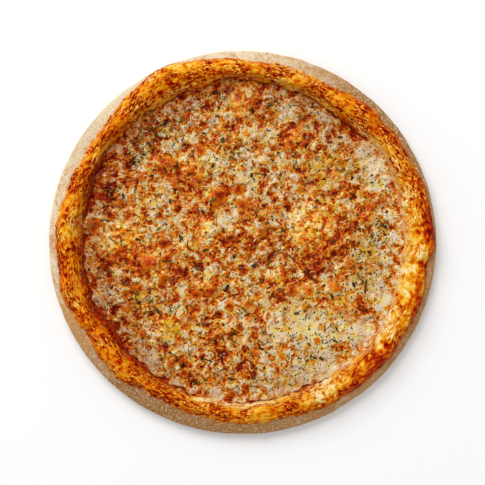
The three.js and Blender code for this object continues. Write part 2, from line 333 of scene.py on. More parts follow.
# Rows of the crust, spaced evenly along its mean section.
crust_angle = np.arange(CRUST_AROUND) * TURN / CRUST_AROUND
controls = rim_section(crust_angle)
last_place = controls.shape[1] - 1
fine = np.linspace(0, last_place, 100 * last_place + 1)
mean_section = smooth_through(controls.mean(0, keepdims=True), fine)[0]
mean_run = np.concatenate([[0], np.cumsum(np.linalg.norm(np.diff(mean_section, axis=0), axis=1))])
rim_run = np.linspace(0, mean_run[-1], CRUST_RIM_ROWS)
rim_at = np.interp(rim_run, mean_run, fine)
ROLL_EDGE_RUN = np.interp(5.05, fine, mean_run)  # where the floured side meets the roll
WALL_RUN = np.interp(9.6, fine, mean_run)  # where the inner wall begins
FOLD_RUN = np.interp(10.6, fine, mean_run)

section = smooth_through(controls, rim_at)
angle_grid = crust_angle[:, None] + 0 * section[..., 0]
degree_grid = np.degrees(angle_grid)
run_grid = rim_run[None, :] + 0 * angle_grid
rim = turned_up(angle_grid, section[..., 0], section[..., 1])
rim_place = turned_up(angle_grid, RIM_RADIUS + 0 * angle_grid, run_grid)

on_roll = rise(run_grid, ROLL_EDGE_RUN - 1, ROLL_EDGE_RUN + 2)
on_wall = rise(run_grid, WALL_RUN, WALL_RUN + 6)
off_foot = rise(run_grid, 0.5, 5) * (1 - rise(run_grid, rim_run[-1] - 2.5, rim_run[-1]))
across = rim_place * np.array([0.36, 0.36, 1])
swell = layered(rim_place, 14, 1, 2)
streaks = 1 - np.abs(layered(across, 2.6, 5, 3)) * 1.7
blister_far, _, blister_number = cells(
    degree_grid / 360 * TURN * RIM_RADIUS, run_grid, TURN * RIM_RADIUS / BLISTER_CELLS, 9, wrap=BLISTER_CELLS
)
blister = rise(0.42 * blister_number**2 + 0.08 - blister_far, -0.05, 0.12) * (blister_number > 0.55)
wander = 1.4 * ripple(rim_place, 9, 21)
crease = np.zeros_like(run_grid)
for at, spread, depth in CREASES:
    line = np.radians(degrees_between(degree_grid, at)) * RIM_RADIUS + wander
    crease = np.maximum(crease, depth / 2 * np.exp(-((line / 0.9) ** 2)))
crease = crease * on_roll * (1 - on_wall)
fold = humps(INNER_FOLD, degree_grid) * np.exp(-(((run_grid - FOLD_RUN + 0.8 * swell) / 0.9) ** 2))
grain = layered(rim_place, 1.9, 31, 2)
dab_height, dab_toast = np.zeros_like(run_grid), np.zeros_like(run_grid)
for px, py, size, height, browner in RIM_DABS:
    away = np.hypot(rim[..., 0] - px, rim[..., 1] - py) + 0.5 * swell
    dab_height += height * rise(size - away, -0.3, 0.5 * size)
    dab_toast += browner * rise(size - away, -1.5, 0.6 * size)
relief = off_foot * (
    (0.45 + 0.35 * on_roll) * swell
    + on_roll * (0.42 * streaks - 0.1 + 0.5 * blister - 0.65 * crease)
    + (1 - on_roll) * (0.2 * layered(rim_place, 4.5, 41, 2) + 0.09 * grain)
    + 0.5 * fold
    + dab_height * on_roll
)
rim = rim + relief[..., None] * ring_normals(rim)
reach = np.hypot(rim[..., 0], rim[..., 1])
limit = (OUTER_RADIUS + OVAL * np.cos(2 * angle_grid) - 0.05) / np.maximum(reach, 1)
rim[..., :2] *= np.minimum(1, limit)[..., None]
rim[..., 2] = np.clip(rim[..., 2], 0, cad_box[1].z / MM - 0.05)

under_share = np.linspace(0, 1, CRUST_UNDER_ROWS + 2)[1:-1]
under = turned_up(crust_angle[:, None], controls[:, 0, :1] * under_share, 0)
bed_share = np.linspace(1, 0, CRUST_BED_ROWS + 2)[1:-1]
bed = turned_up(crust_angle[:, None], controls[:, -1, :1] * bed_share, BED_HEIGHT)
crust_grid = np.concatenate([under, rim, bed], axis=1)
crust_points, crust_faces = closed_ring(crust_grid, [0, 0, 0], [0, 0, BED_HEIGHT])


def crust_mask(rim_values, under_value=0.0, bed_value=0.0):
    """A mask over the whole crust: its values on the rim, and one value each for underside and bed."""
    shape = rim_values.shape[2:]
    grid = np.concatenate([
        np.full((CRUST_AROUND, CRUST_UNDER_ROWS, *shape), under_value),
        rim_values,
        np.full((CRUST_AROUND, CRUST_BED_ROWS, *shape), bed_value),
    ], axis=1)
    middles = np.stack([np.full(shape, under_value), np.full(shape, bed_value)])
    return np.concatenate([grid.reshape(-1, *shape), middles])


outer_edge = 1 - rise(run_grid + 2 * swell, ROLL_EDGE_RUN + 5, ROLL_EDGE_RUN + 14)
wall_foot = rise(run_grid + 1.5 * swell, rim_run[-1] - 12, rim_run[-1] - 5)
# The roll's browning, with painted light and shade from the stretches above: the outer edge and the wall's
# foot darker where shade falls, and the wall and roll paler where light is painted.
toasting_and_shade = (
    0.43
    + humps(ROLL_TOAST_LIGHT_AND_SHADE, degree_grid)
    + 0.1 * layered(across, 9, 51, 2)
    + 0.16 * (0.5 - streaks)
    + 0.16 * blister
    + 0.16 * crease
    - 0.16 * fold
    + humps(EDGE_TOAST_AND_SHADE, degree_grid) * outer_edge
    - (0.06 + humps(WALL_LIGHT_AND_SHADE, degree_grid)) * on_wall
    + dab_toast * on_roll
    + humps(WALL_FOOT_SHADE, degree_grid) * wall_foot
)
rim_cheese = humps(RIM_CHEESE, degree_grid + 2.5 * layered(rim_place, 6, 61, 2))
rim_cheese = rim_cheese * rise(run_grid, ROLL_EDGE_RUN, ROLL_EDGE_RUN + 5)
merging = np.clip(humps(MERGING, degree_grid) + 0.3 * layered(rim_place, 8, 77, 2), 0, 1)
sauce_shows = np.clip(0.15 + humps(SAUCE_LINE, degree_grid) + 0.4 * layered(rim_place, 7, 79, 2), 0, 1)
sauced = sauce_shows * (1 - 0.8 * merging)
sauced = sauced * rise(run_grid + 1.6 * layered(rim_place, 5, 71, 2), rim_run[-1] - 5, rim_run[-1] - 3)
softened = np.clip(humps(SOFT_ROLL, degree_grid), 0, 1)
overrun = merging * rise(run_grid + 2 * swell, rim_run[-1] - 12, rim_run[-1] - 4)
dusted_and_lit = 0.15 + humps(FLOUR_AND_LIGHT, degree_grid) + 0.3 * layered(rim_place, 12, 75, 2)
over_side = run_grid - ROLL_EDGE_RUN + humps(SKIN_REACH, degree_grid)
crust_masks = {
    "rim_place": crust_mask(rim_place * MM),
    "roll_side": crust_mask(over_side * MM, -1.0, 1.0),
    "toasting_and_shade": crust_mask(toasting_and_shade, 0.4, 0.4),
    "rim_cheese": crust_mask(rim_cheese),
    "sauced": crust_mask(sauced, 0.0, 1.0),
    "dusted_and_lit": crust_mask(dusted_and_lit, 0.5, 0.0),
    "softened": crust_mask(softened),
    "overrun": crust_mask(overrun),
    "side_browner_and_shade": crust_mask(humps(SIDE_BROWNER_AND_SHADE, degree_grid)),
}


def add(tree, kind, sockets=None, **settings):
    """Puts a node into a tree. settings are its properties, and sockets are its inputs: a value or another's
    output."""
    made = tree.nodes.new("ShaderNode" + kind)
    for key, value in settings.items():
        setattr(made, key, value)
    for key, value in (sockets or {}).items():
        if isinstance(value, bpy.types.NodeSocket):
            tree.links.new(value, made.inputs[key])
        else:
            made.inputs[key].default_value = value
    return made


def sums(tree, operation, *values):
    """A Math node's output for up to three values."""
    return add(tree, "Math", dict(enumerate(values)), operation=operation).outputs[0]


def ranged(tree, value, low, high, start=0.0, end=1.0):
    """A value taken smoothly from the range low to high onto start to end."""
    sockets = {"Value": value, "From Min": low, "From Max": high, "To Min": start, "To Max": end}
    return add(tree, "MapRange", sockets, interpolation_type="SMOOTHSTEP").outputs["Result"]


def noise(tree, place, size, detail=2.0, rough=0.5, output="Fac"):
    """Noise whose largest features are about size millimetres."""
    sockets = {"Vector": place, "Scale": 1000 / size, "Detail": detail, "Roughness": rough}
    return add(tree, "TexNoise", sockets).outputs[output]


def mixed(tree, share, first, second):
    """The first colour where share is 0 and the second where it is 1."""
    made = add(tree, "Mix", {"Factor": share}, data_type="RGBA")
    for key, value in ((6, first), (7, second)):
        if isinstance(value, bpy.types.NodeSocket):
            tree.links.new(value, made.inputs[key])
        else:
            made.inputs[key].default_value = (*value, 1)
    return made.outputs[2]


def multiplied(tree, share, colour, by):
    """A colour, and where share is 1 that colour times another."""
    made = add(tree, "Mix", {"Factor": share}, data_type="RGBA", blend_type="MULTIPLY")
    tree.links.new(colour, made.inputs[6])
    made.inputs[7].default_value = (*by, 1)
    return made.outputs[2]


def ramp(tree, value, stops):
    """A colour that runs through the stops, each a place from 0 to 1 and a colour."""
    made = add(tree, "ValToRGB", {"Fac": value})
    points = made.color_ramp.elements
    while len(points) < len(stops):
        points.new(0.5)
    for point, (at, colour) in zip(points, stops):
        point.position = at
        point.color = (*colour, 1)
    return made.outputs["Color"]


def mask(tree, label):
    """The output of an attribute that the mesh carries, a number for each point."""
    return add(tree, "Attribute", attribute_name=label).outputs["Fac"]


def broken(tree, label, grain, low, high):
    """A mask broken up by noise: the mask times the noise's smooth rise from low to high."""
    return sums(tree, "MULTIPLY", mask(tree, label), ranged(tree, grain, low, high))


def bumped(tree, skin, height, strength, distance):
    """Feeds a shader's normal with bumps from a height, where 1 stands for distance metres."""
    bump = add(tree, "Bump", {"Height": height, "Strength": strength, "Distance": distance})
    tree.links.new(bump.outputs[0], skin["Normal"])


def material_tree(name):
    """A new material, its node tree and the inputs of its Principled shader."""
    material = bpy.data.materials.new(name)
    material.use_nodes = True
    tree = material.node_tree
    return material, tree, tree.nodes["Principled BSDF"].inputs


def node_group(name, inputs, outputs):
    """A new node group with named inputs, each with its kind and value, and named outputs with their kind."""
    tree = bpy.data.node_groups.new(name, "ShaderNodeTree")
    for label, kind, value in inputs:
        socket = tree.interface.new_socket(label, in_out="INPUT", socket_type="NodeSocket" + kind)
        socket.default_value = value
    for label, kind in outputs:
        tree.interface.new_socket(label, in_out="OUTPUT", socket_type="NodeSocket" + kind)
    return tree, tree.nodes.new("NodeGroupInput").outputs, tree.nodes.new("NodeGroupOutput").inputs


# Fine grain, shared by the dough, the cheese and the oregano: two sizes of noise, and sparse grains that
# stand up.
grain_group, grain_in, grain_out = node_group(
    "fine_grain",
    [("Place", "Vector", (0, 0, 0)), ("Scale", "Float", 1000.0)],
    [("Value", "Float"), ("Grains", "Float")],
)
soft_grain = add(
    grain_group, "TexNoise", {"Vector": grain_in["Place"], "Scale": grain_in["Scale"], "Detail": 3.0}
).outputs["Fac"]
grain_cells = add(
    grain_group, "TexVoronoi", {"Vector": grain_in["Place"], "Scale": grain_in["Scale"]}, feature="F1"
).outputs["Distance"]
grain_group.links.new(soft_grain, grain_out["Value"])
grain_group.links.new(ranged(grain_group, grain_cells, 0.42, 0.12), grain_out["Grains"])


def grained(tree, place, size):
    """The fine grain group's outputs at a size in millimetres."""
    made = tree.nodes.new("ShaderNodeGroup")
    made.node_tree = grain_group
    tree.links.new(place, made.inputs["Place"])
    made.inputs["Scale"].default_value = 1000 / size
    return made.outputs


# Colours of the dough, as linear red, green and blue.
BARE_DOUGH = (0.60, 0.31, 0.115)
DUSTED_FLOUR = (0.76, 0.61, 0.40)
THICK_FLOUR = (0.83, 0.70, 0.51)
# Browned side colour, partly painted shade.
SHADED_BROWN_SIDE = (0.39, 0.187, 0.062)
PIT_GOLD = (0.55, 0.22, 0.02)
FLOUR_SHADE = (0.55, 0.48, 0.40)  # what shows of the flour's colour between its grains
ROLL_COLOURS = (
    (0.0, (0.93, 0.80, 0.48)),
    (0.12, (0.92, 0.64, 0.18)),
    (0.24, (0.90, 0.50, 0.045)),
    (0.36, (0.84, 0.345, 0.008)),
    (0.48, (0.74, 0.215, 0.001)),
    (0.6, (0.63, 0.092, 0.0)),
    (0.74, (0.50, 0.028, 0.0)),
    (0.88, (0.34, 0.006, 0.0)),
    (1.0, (0.18, 0.001, 0.0)),
)
ROLL_FLECK = (0.90, 0.62, 0.12)
MERGED_CHEESE = (0.77, 0.42, 0.20)
SAUCE_STAIN = (0.18, 0.012, 0.001)

dough, tree, skin = material_tree("baked_dough")
place = add(tree, "Attribute", attribute_name="rim_place").outputs["Vector"]
body = add(tree, "TexCoord").outputs["Object"]
stretched = add(tree, "VectorMath", {0: place, 1: (0.45, 0.45, 1)}, operation="MULTIPLY").outputs[0]
drawn_out = add(tree, "VectorMath", {0: place, 1: (0.34, 0.34, 1)}, operation="MULTIPLY").outputs[0]
wobble = sums(tree, "MULTIPLY_ADD", noise(tree, place, 5, 3), 0.0045, -0.0022)
golden = ranged(tree, sums(tree, "ADD", mask(tree, "roll_side"), wobble), -0.0026, -0.0006)

flour_grain = grained(tree, body, 1.3)
speckled = noise(tree, body, 3.4, 4, 0.65)
# Flour on the side, also painted paler as light where the side faces the lamp.
dusting_and_light = sums(tree, "ADD", mask(tree, "dusted_and_lit"), sums(tree, "MULTIPLY_ADD", speckled, 1.6, -0.8))
side_colour = mixed(tree, ranged(tree, dusting_and_light, 0.1, 0.8), BARE_DOUGH, DUSTED_FLOUR)
thick = ranged(tree, flour_grain["Value"], 0.45, 0.65)
thick = sums(tree, "MULTIPLY", thick, ranged(tree, dusting_and_light, 0.3, 0.9))
side_colour = mixed(tree, thick, side_colour, THICK_FLOUR)
pit_cells = add(tree, "TexVoronoi", {"Vector": body, "Scale": 1000 / 6.5}, feature="F1").outputs
pit_number = add(tree, "SeparateColor", {0: pit_cells["Color"]}).outputs[0]
pits = ranged(tree, pit_cells["Distance"], 0.2, 0.14)
pits = sums(tree, "MULTIPLY", pits, ranged(tree, pit_number, 0.72, 0.76))
side_colour = mixed(tree, pits, side_colour, PIT_GOLD)
# Browner side, partly bare dough and partly painted shade where it turns from the lamp.
side_brown_and_shade = broken(tree, "side_browner_and_shade", noise(tree, body, 2.2, 3, 0.6), 0.2, 0.5)
side_colour = mixed(tree, side_brown_and_shade, side_colour, SHADED_BROWN_SIDE)
gritty = sums(tree, "MULTIPLY_ADD", mask(tree, "side_browner_and_shade"), 0.3, 0.34)
gritty = sums(tree, "MULTIPLY", ranged(tree, noise(tree, body, 1.3, 2), 0.5, 0.36), gritty)
side_colour = multiplied(tree, gritty, side_colour, FLOUR_SHADE)
light_grains = sums(tree, "MULTIPLY_ADD", mask(tree, "side_browner_and_shade"), 0.4, 0.15)
light_grains = sums(tree, "MULTIPLY", ranged(tree, noise(tree, body, 1.5, 2, 0.6), 0.52, 0.66), light_grains)
side_colour = mixed(tree, light_grains, side_colour, THICK_FLOUR)

scales = noise(tree, stretched, 1.7, 3, 0.6)
mottle = noise(tree, place, 6, 3, 0.6)
crackled = ranged(tree, noise(tree, place, 13, 3), 0.4, 0.58)
threads = sums(tree, "MAXIMUM", sums(tree, "SUBTRACT", scales, 0.5), -0.05)
unevenness = sums(tree, "MULTIPLY", threads, sums(tree, "MULTIPLY_ADD", crackled, 2.1, 1.0))
lively = sums(tree, "MULTIPLY_ADD", mask(tree, "softened"), -0.7, 1)
toast = sums(tree, "MULTIPLY_ADD", unevenness, lively, mask(tree, "toasting_and_shade"))
toast = sums(tree, "ADD", toast, sums(tree, "MULTIPLY_ADD", mottle, 0.25, -0.165))
torn_here = sums(tree, "MULTIPLY_ADD", crackled, 0.95, 0.15)
for streak_width, shift in ((2.4, 0.46), (1.5, 0.42)):
    off_middle = sums(tree, "SUBTRACT", noise(tree, drawn_out, streak_width, 3, 0.6), 0.5)
    off_middle = sums(tree, "ABSOLUTE", off_middle)
    torn = sums(tree, "MULTIPLY", ranged(tree, off_middle, 0.05, 0.01), torn_here)
    toast = sums(tree, "MULTIPLY_ADD", sums(tree, "MULTIPLY", torn, lively), shift, toast)
over_rim = broken(tree, "rim_cheese", noise(tree, place, 5, 2), 0.36, 0.62)
toast = sums(tree, "MULTIPLY_ADD", over_rim, -0.32, toast)
roll_colour = ramp(tree, toast, ROLL_COLOURS)
flecks = sums(tree, "MULTIPLY", ranged(tree, noise(tree, stretched, 2.2, 3, 0.6), 0.6, 0.66), 0.16)
roll_colour = mixed(tree, flecks, roll_colour, ROLL_FLECK)
smeared = broken(tree, "overrun", noise(tree, place, 2.8, 3, 0.6), 0.42, 0.56)
roll_colour = mixed(tree, smeared, roll_colour, MERGED_CHEESE)
stained = broken(tree, "sauced", noise(tree, place, 4, 3), 0.3, 0.5)
roll_colour = mixed(tree, stained, roll_colour, SAUCE_STAIN)
tree.links.new(mixed(tree, golden, side_colour, roll_colour), skin["Base Color"])
gloss = ranged(tree, golden, 0, 1, 0.9, 0.55)
gloss = sums(tree, "MULTIPLY_ADD", stained, -0.2, gloss)
tree.links.new(gloss, skin["Roughness"])
skin["Specular IOR Level"].default_value = 0.03
ridges = sums(tree, "MULTIPLY_ADD", scales, sums(tree, "MULTIPLY", golden, 1.3), flour_grain["Value"])
bumped(tree, skin, ridges, 0.8, 0.0008)

mesh_piece("crust_dough", crust_points, crust_faces, crust_masks, dough, "baked_dough", "crust")

# ---------- tomato sauce ----------
# Crushed tomato spread over the bed with the back of a spoon. It dries to a dark glossy film where it
# climbs the inner wall, and shows as a red line between the cheese and the rim.
SAUCE_BOTTOM = BED_HEIGHT + 0.3
SAUCE_TOP = SAUCE_BOTTOM + 1.1
FILM_ROWS = 15
FILM_THICKNESS = 0.45
film_rows = np.arange(CRUST_RIM_ROWS - FILM_ROWS - 1, CRUST_RIM_ROWS - 1)
wall = rim[:, film_rows]
wall_normals = ring_normals(rim)[:, film_rows]
wall_place = rim_place[:, film_rows]
climb = 7.2 + 2.6 * sauce_shows[:, :1] + 1.6 * layered(rim_place[:, :1], 5, 81, 3) - 1.5 * merging[:, :1]
film = FILM_THICKNESS * rise(climb - wall[..., 2], -0.3, 0.9) * (1 + 0.5 * layered(wall_place, 1.8, 85, 2))
film_outside = wall - 0.15 * wall_normals
film_inside = wall + (film - 0.1)[..., None] * wall_normals
foot = wall[:, -1:]
foot_radius = np.hypot(foot[..., 0], foot[..., 1])
sauce_share = np.array([0.04, 0.3, 0.6, 0.85, 0.97])
sauce_under = turned_up(crust_angle[:, None], (foot_radius - 1.5) * sauce_share, SAUCE_BOTTOM)
sauce_over = turned_up(crust_angle[:, None], (foot_radius - 1.5) * sauce_share[::-1], SAUCE_TOP)
sauce_grid = np.concatenate([sauce_under, film_outside[:, ::-1], film_inside, sauce_over], axis=1)
sauce_points, sauce_faces = closed_ring(sauce_grid, [0, 0, SAUCE_BOTTOM], [0, 0, SAUCE_TOP])

SAUCE_RED = (0.42, 0.035, 0.001)
SAUCE_DARK = (0.13, 0.012, 0.001)
SAUCE_ORANGE = (0.50, 0.12, 0.008)
sauce, tree, skin = material_tree("tomato_sauce")
body = add(tree, "TexCoord").outputs["Object"]
pulp = noise(tree, body, 3, 4, 0.6)
colour = mixed(tree, ranged(tree, pulp, 0.38, 0.58), SAUCE_DARK, SAUCE_RED)
colour = mixed(tree, ranged(tree, noise(tree, body, 1.6, 3), 0.56, 0.7), colour, SAUCE_ORANGE)
tree.links.new(colour, skin["Base Color"])
tree.links.new(ranged(tree, pulp, 0.3, 0.7, 0.3, 0.55), skin["Roughness"])
skin["Specular IOR Level"].default_value = 0.12
bumped(tree, skin, pulp, 0.6, 0.0006)
mesh_piece("sauce_layer", sauce_points, sauce_faces, {}, sauce, "tomato_sauce", "tomato_sauce")

# ---------- melted cheese ----------
# Shredded cheese that melted into one sheet. It browns on mounds and blisters, stays pale where it pooled,
# and turns thin and reddish over the sauce towards the rim.
CHEESE_BOTTOM = SAUCE_TOP + 0.3
CHEESE_LEVEL = CHEESE_BOTTOM + 2.4
CHEESE_STEPS = 310
# Mounds that stood above the rest: place, reach and height.
MOUNDS = (
    (-95, 2, 18, 5.2), (2, 110, 15, 4), (55, 8, 21, 5.6), (-60, 60, 9, 3.6), (-40, 56, 11, 2.6),
    (-22, 36, 9, 3.4), (-43, -3, 9, 3.4), (-67, -15, 12, 3.2), (-28, 11, 13, 3), (-28, -34, 11, 3),
    (44, 82, 11, 3.2), (96, 19, 9, 2.2), (83, -19, 9, 2.2), (71, -34, 7, 2.4), (49, -37, 9, 2.4),
    (26, -29, 10, 3), (-8, 76, 13, 2.4), (-8, -72, 14, 2.2), (-58, -62, 13, 2.2),
)
# Where the cheese pooled and set smooth: place, reach and strength.
POOLS = (
    (45, -62, 17, 1), (64, -72, 20, 1), (40, -95, 16, 0.8), (80, -45, 14, 0.7), (102, 60, 9, 0.8),
    (82, 28, 7, 0.4), (103, -30, 10, 0.7), (25, -70, 11, 0.9), (-22, 63, 8, 0.8), (88, -68, 12, 0.8),
    (66, -98, 12, 0.7), (99, -10, 13, 0.7), (100, 46, 11, 0.5), (108, -48, 9, 0.6), (86, -32, 7, 0.3),
    (110, 8, 7, 0.4),
)
# Paler patches: place, reach and strength.
PALE = (
    (-25, 63, 9, 1), (-3, 57, 8, 0.8), (5, 50, 6, 0.8), (30, 63, 8, 0.8), (8, 68, 8, 0.7), (15, 82, 8, 0.6),
    (-70, 30, 8, 0.9), (-60, 38, 6, 0.8), (-52, 15, 7, 0.9), (-46, 3, 7, 0.7), (-13, 17, 7, 1),
    (-25, 9, 7, 0.8), (-37, 3, 5, 0.3), (-6, 23, 5, 0.8), (35, 100, 10, 0.9), (24, 103, 5, 0.5),
    (-37, 104, 5, 0.8), (-20, 100, 6, 0.6), (95, 62, 10, 0.8), (104, 58, 6, 0.7), (84, 30, 6, 0.6),
    (90, 38, 5, 0.5), (113, 25, 6, 0.9), (20, -24, 4, 0.8), (8, -37, 6, 0.8), (5, -28, 5, 0.6),
    (-84, -29, 4, 0.5), (-97, -25, 6, 0.6), (-100, -40, 8, 0.8), (-73, -90, 9, 0.55), (-62, -95, 8, 0.5),
    (-40, -80, 6, 0.9), (0, -60, 6, 0.7), (-12, -62, 5, 0.6), (18, -100, 6, 0.9), (62, 97, 7, 0.8),
    (36, 106, 6, 0.6), (-51, 72, 7, 0.7), (-83, 41, 7, 0.6), (-78, 62, 4, 0.5), (-36, -67, 5, 0.6),
    (57, 56, 6, 0.5), (92, 74, 7, 0.6), (-28, -22, 4, 0.6), (-14, -23, 4, 0.6), (16, -50, 5, 0.5),
    (44, 24, 6, 0.4), (38, 12, 6, 0.3), (110, -20, 7, 0.6), (105, -35, 8, 0.5), (-25, 88, 7, 0.5),
    (-90, 14, 6, 0.5), (-46, -51, 5, 0.7), (20, -116, 12, 0.4), (108, 45, 9, 0.7), (118, 56, 5, 0.5),
    (5, 45, 8, 0.5), (-104, 2, 8, 0.6), (75, 64, 6, 0.4), (30, 36, 8, 0.4), (-26, 40, 5, 0.6),
    (73, 57, 6, 1), (8, -52, 5, 0.6), (-69, 0, 5, 0.8), (30, -112, 10, 0.5), (-20, -118, 10, 0.4),
    (-10, 108, 6, 0.5), (92, 13, 4, 0.4), (-20, 30, 4, 0.4), (96, 2, 8, 0.4), (88, -8, 7, 0.4),
    (-40, -90, 7, 0.6), (-50, -115, 8, 0.5), (-20, -119, 7, 0.5), (-38, 80, 6, 0.6), (-60, 106, 7, 0.5),
    (-74, -60, 5, 0.5), (95, -68, 6, 0.4), (8, -47, 5, 0.4), (-10, -80, 4, 0.4), (92, -27, 5, 0.6),
    (45, 40, 7, 0.5), (42, 4, 6, 0.4), (-80, -78, 6, 0.5), (-84, -94, 5, 0.5), (-64, -76, 5, 0.4),
    (-22, 46, 5, 0.5), (-28, 37, 4, 0.4), (12, -8, 6, 0.4), (15, 33, 6, 0.4), (-88, 34, 5, 0.4),
    (-42, 82, 5, 0.4), (-55, -84, 6, 0.4), (-95, -62, 5, 0.3), (113, 20, 8, 0.4), (113, 0, 9, 0.5),
    (108, -42, 9, 0.4), (38, -110, 7, 0.5), (-5, -114, 8, 0.5), (60, -104, 7, 0.4), (-93, 33, 5, 0.4),
    (-76, -31, 6, 0.6), (60, -28, 5, 0.5), (85, -28, 5, 0.5), (-74, -72, 7, 0.4), (16, 60, 6, 0.15),
    (-58, -100, 10, 0.3), (62, -100, 12, 0.45), (-60, 20, 10, 0.2), (-82, -89, 8, 0.6), (101, -68, 8, 0.5),
    (82, -96, 8, 0.5), (44, -116, 9, 0.45), (78, 90, 5, 0.4), (-33, 80, 5, 0.3), (60, -26, 5, 0.3),
    (92, -28, 5, 0.3), (-50, -12, 6, 0.3), (-86, -56, 6, 0.3), (-45, 36, 5, 0.3), (-22, 26, 4, 0.3),
    (93, -81, 6, 0.6), (-86, -74, 5, 0.4), (12, -8, 5, 0.2), (-54, -76, 6, 0.3),
)
# Where a pool is more yellow than white: place, reach and strength.
BUTTERY = ((55, -60, 30, 1.2), (88, 0, 40, 1))
# Browner patches: place, reach and strength.
BROWNED = (
    (-62, 57, 8, 0.9), (-45, 52, 8, 1), (-38, 45, 6, 0.8), (-52, 60, 5, 0.7), (-75, 52, 6, 0.5),
    (-103, 37, 7, 1), (-112, 55, 6, 1), (-14, 39, 6, 0.9), (-5, 42, 5, 0.7), (-20, 33, 6, 0.8),
    (10, 22, 8, 0.8), (15, 14, 6, 0.6), (-10, 3, 6, 0.8), (5, 2, 5, 0.6), (-60, -1, 6, 1),
    (-55, -10, 6, 0.7), (-75, -17, 9, 1), (-85, -14, 6, 0.7), (-110, -14, 8, 0.7), (-98, -8, 7, 0.6),
    (-48, -23, 7, 0.7), (-60, -30, 6, 0.7), (-24, -38, 6, 1), (-36, -45, 7, 0.9), (-40, -58, 6, 0.6),
    (0, -23, 4.5, 0.9), (-10, -50, 5, 0.8), (-20, -12, 6, 0.5), (74, 5, 5, 0.7), (71, -4, 7, 1),
    (60, -14, 8, 1), (53, -24, 6, 0.8), (40, -36, 7, 0.8), (28, -40, 6, 0.6), (30, -22, 5, 0.6),
    (95, 20, 7, 0.7), (70, -34, 6, 0.6), (83, -19, 6, 0.5), (50, 81, 5, 0.9), (44, 78, 6, 0.6),
    (36, 92, 4, 0.6), (13, 112, 6, 0.8), (10, 103, 5, 0.8), (0, 98, 5, 0.5), (-28, 105, 5, 0.7),
    (-40, 98, 7, 0.7), (-45, 110, 6, 0.5), (-67, 75, 5, 0.5), (22, 38, 5, 0.7), (17, 53, 4, 0.6),
    (77, 63, 3, 0.4), (92, 40, 6, 0.6), (104, -52, 4, 0.4), (93, -53, 4, 0.5), (-88, -62, 7, 0.7),
    (-80, -72, 6, 0.6), (-45, -102, 7, 0.9), (-55, -93, 5, 0.6), (-8, -85, 7, 0.6), (6, -93, 5, 0.8),
    (-25, -70, 6, 0.5), (-3, -68, 4, 0.7), (30, -83, 4, 0.5), (57, -77, 4, 0.5), (-97, 8, 5, 0.4),
    (-33, 70, 5, 0.7), (60, 2, 8, 0.5), (-35, 24, 6, 0.9), (-61, 29, 5, 0.8), (90, -48, 5, 0.4),
    (33, 92, 5, 0.4), (-5, 11, 4, 0.5), (-32, -2, 6, 0.6), (-34, -18, 6, 0.7), (-55, -35, 6, 0.5),
    (84, 42, 6, 0.8), (72, 77, 4, 0.7), (80, -38, 6, 0.7), (50, -65, 8, 0.25), (35, -92, 8, 0.4),
    (64, -90, 5, 0.4), (-103, 50, 5, 0.5), (-86, -2, 5, 0.4), (-20, -5, 5, 0.5), (-99, 21, 6, 0.5),
    (-110, -19, 5, 0.4), (86, -42, 6, 0.5), (3, 17, 6, 0.4), (-40, 92, 4, 0.4), (80, -12, 6, 0.4),
    (52, -75, 8, 0.2), (38, -95, 7, 0.3), (-85, -23, 6, 0.5), (-30, -32, 6, 0.4), (-26, -58, 6, 0.4),
    (-98, -75, 5, 0.5), (84, 38, 5, 0.6), (-104, 26, 6, 0.4), (64, -84, 5, 0.4), (-92, 4, 4, 0.4),
    (92, -44, 5, 0.4), (-95, 76, 5, 0.5), (-25, 98, 5, 0.5), (-55, 80, 5, 0.4), (-30, 96, 7, 0.3),
    (-62, 72, 5, 0.4), (-16, 0, 8, 0.5), (-30, -8, 7, 0.5), (-96, -80, 6, 0.4), (-80, -46, 6, 0.4),
    (56, -22, 9, 0.4), (96, -24, 8, 0.3), (-104, -24, 8, 0.3), (62, -50, 8, 0.25), (90, -58, 8, 0.3),
    (56, -10, 8, 0.3), (20, -8, 6, 0.3), (-92, -14, 7, 0.3), (-100, -56, 6, 0.3), (-107, 45, 8, 0.5),
    (-112, 52, 5, 0.4), (-82, -2, 8, 0.5), (74, -6, 12, 0.4), (80, -42, 8, 0.4), (-61, 28, 6, 0.3),
    (-35, 27, 5, 0.3), (48, 80, 6, 0.3), (0, 9, 7, 0.3), (20, 66, 6, 0.2), (-72, -12, 8, 0.3),
)
# Where the sheet is so thin that the sauce shows: place, reach and strength.
THIN_RED = (
    (-112, 44, 4, 0.3), (-104, 46, 3, 0.4), (60, -22, 4, 0.7), (40, 90, 4, 0.5), (22, -32, 3, 0.5),
    (38, 92, 3, 1), (35, 87, 2.5, 1), (53, -24, 5, 0.9), (-110, 57, 4, 0.6), (-12, 37, 2.5, 0.9),
    (-14, -85, 4, 0.7), (-91, -83, 4, 0.4), (88, -54, 1.6, 1), (86, 86, 3, 0.8), (8, 16, 2.5, 0.8),
    (-60, -105, 3, 0.8), (-103, 34, 3, 0.5), (116, 46, 2, 0.9), (121, 36, 2.4, 0.6), (108, -52, 3, 0.6),
    (-108, 36, 4, 0.45), (-100, 52, 4, 0.35), (-84, 76, 4, 0.5), (-70, 98, 4, 0.5), (-46, 112, 4, 0.5),
    (-118, 30, 4, 0.7), (-82, 100, 6, 0.7), (-92, 74, 6, 0.7), (-36, 110, 5, 0.5), (-22, 100, 4, 0.5),
    (-28, -8, 4, 0.5), (-5, 19, 4, 0.5), (-80, -45, 4, 0.3), (-62, -65, 3, 0.4), (78, 76, 3, 0.5),
    (-72, 88, 5, 0.5), (-62, -92, 4, 0.5), (-82, -108, 4, 0.5), (-103, 39, 5, 0.25), (-99, 44, 4, 0.35),
    (-101, -78, 6, 0.5), (-106, -70, 5, 0.5), (-108, -30, 3, 0.5), (-40, -112, 3, 0.5), (-8, 20, 3, 0.4),
    (66, -26, 3, 0.6), (-30, 30, 3, 0.4),
)
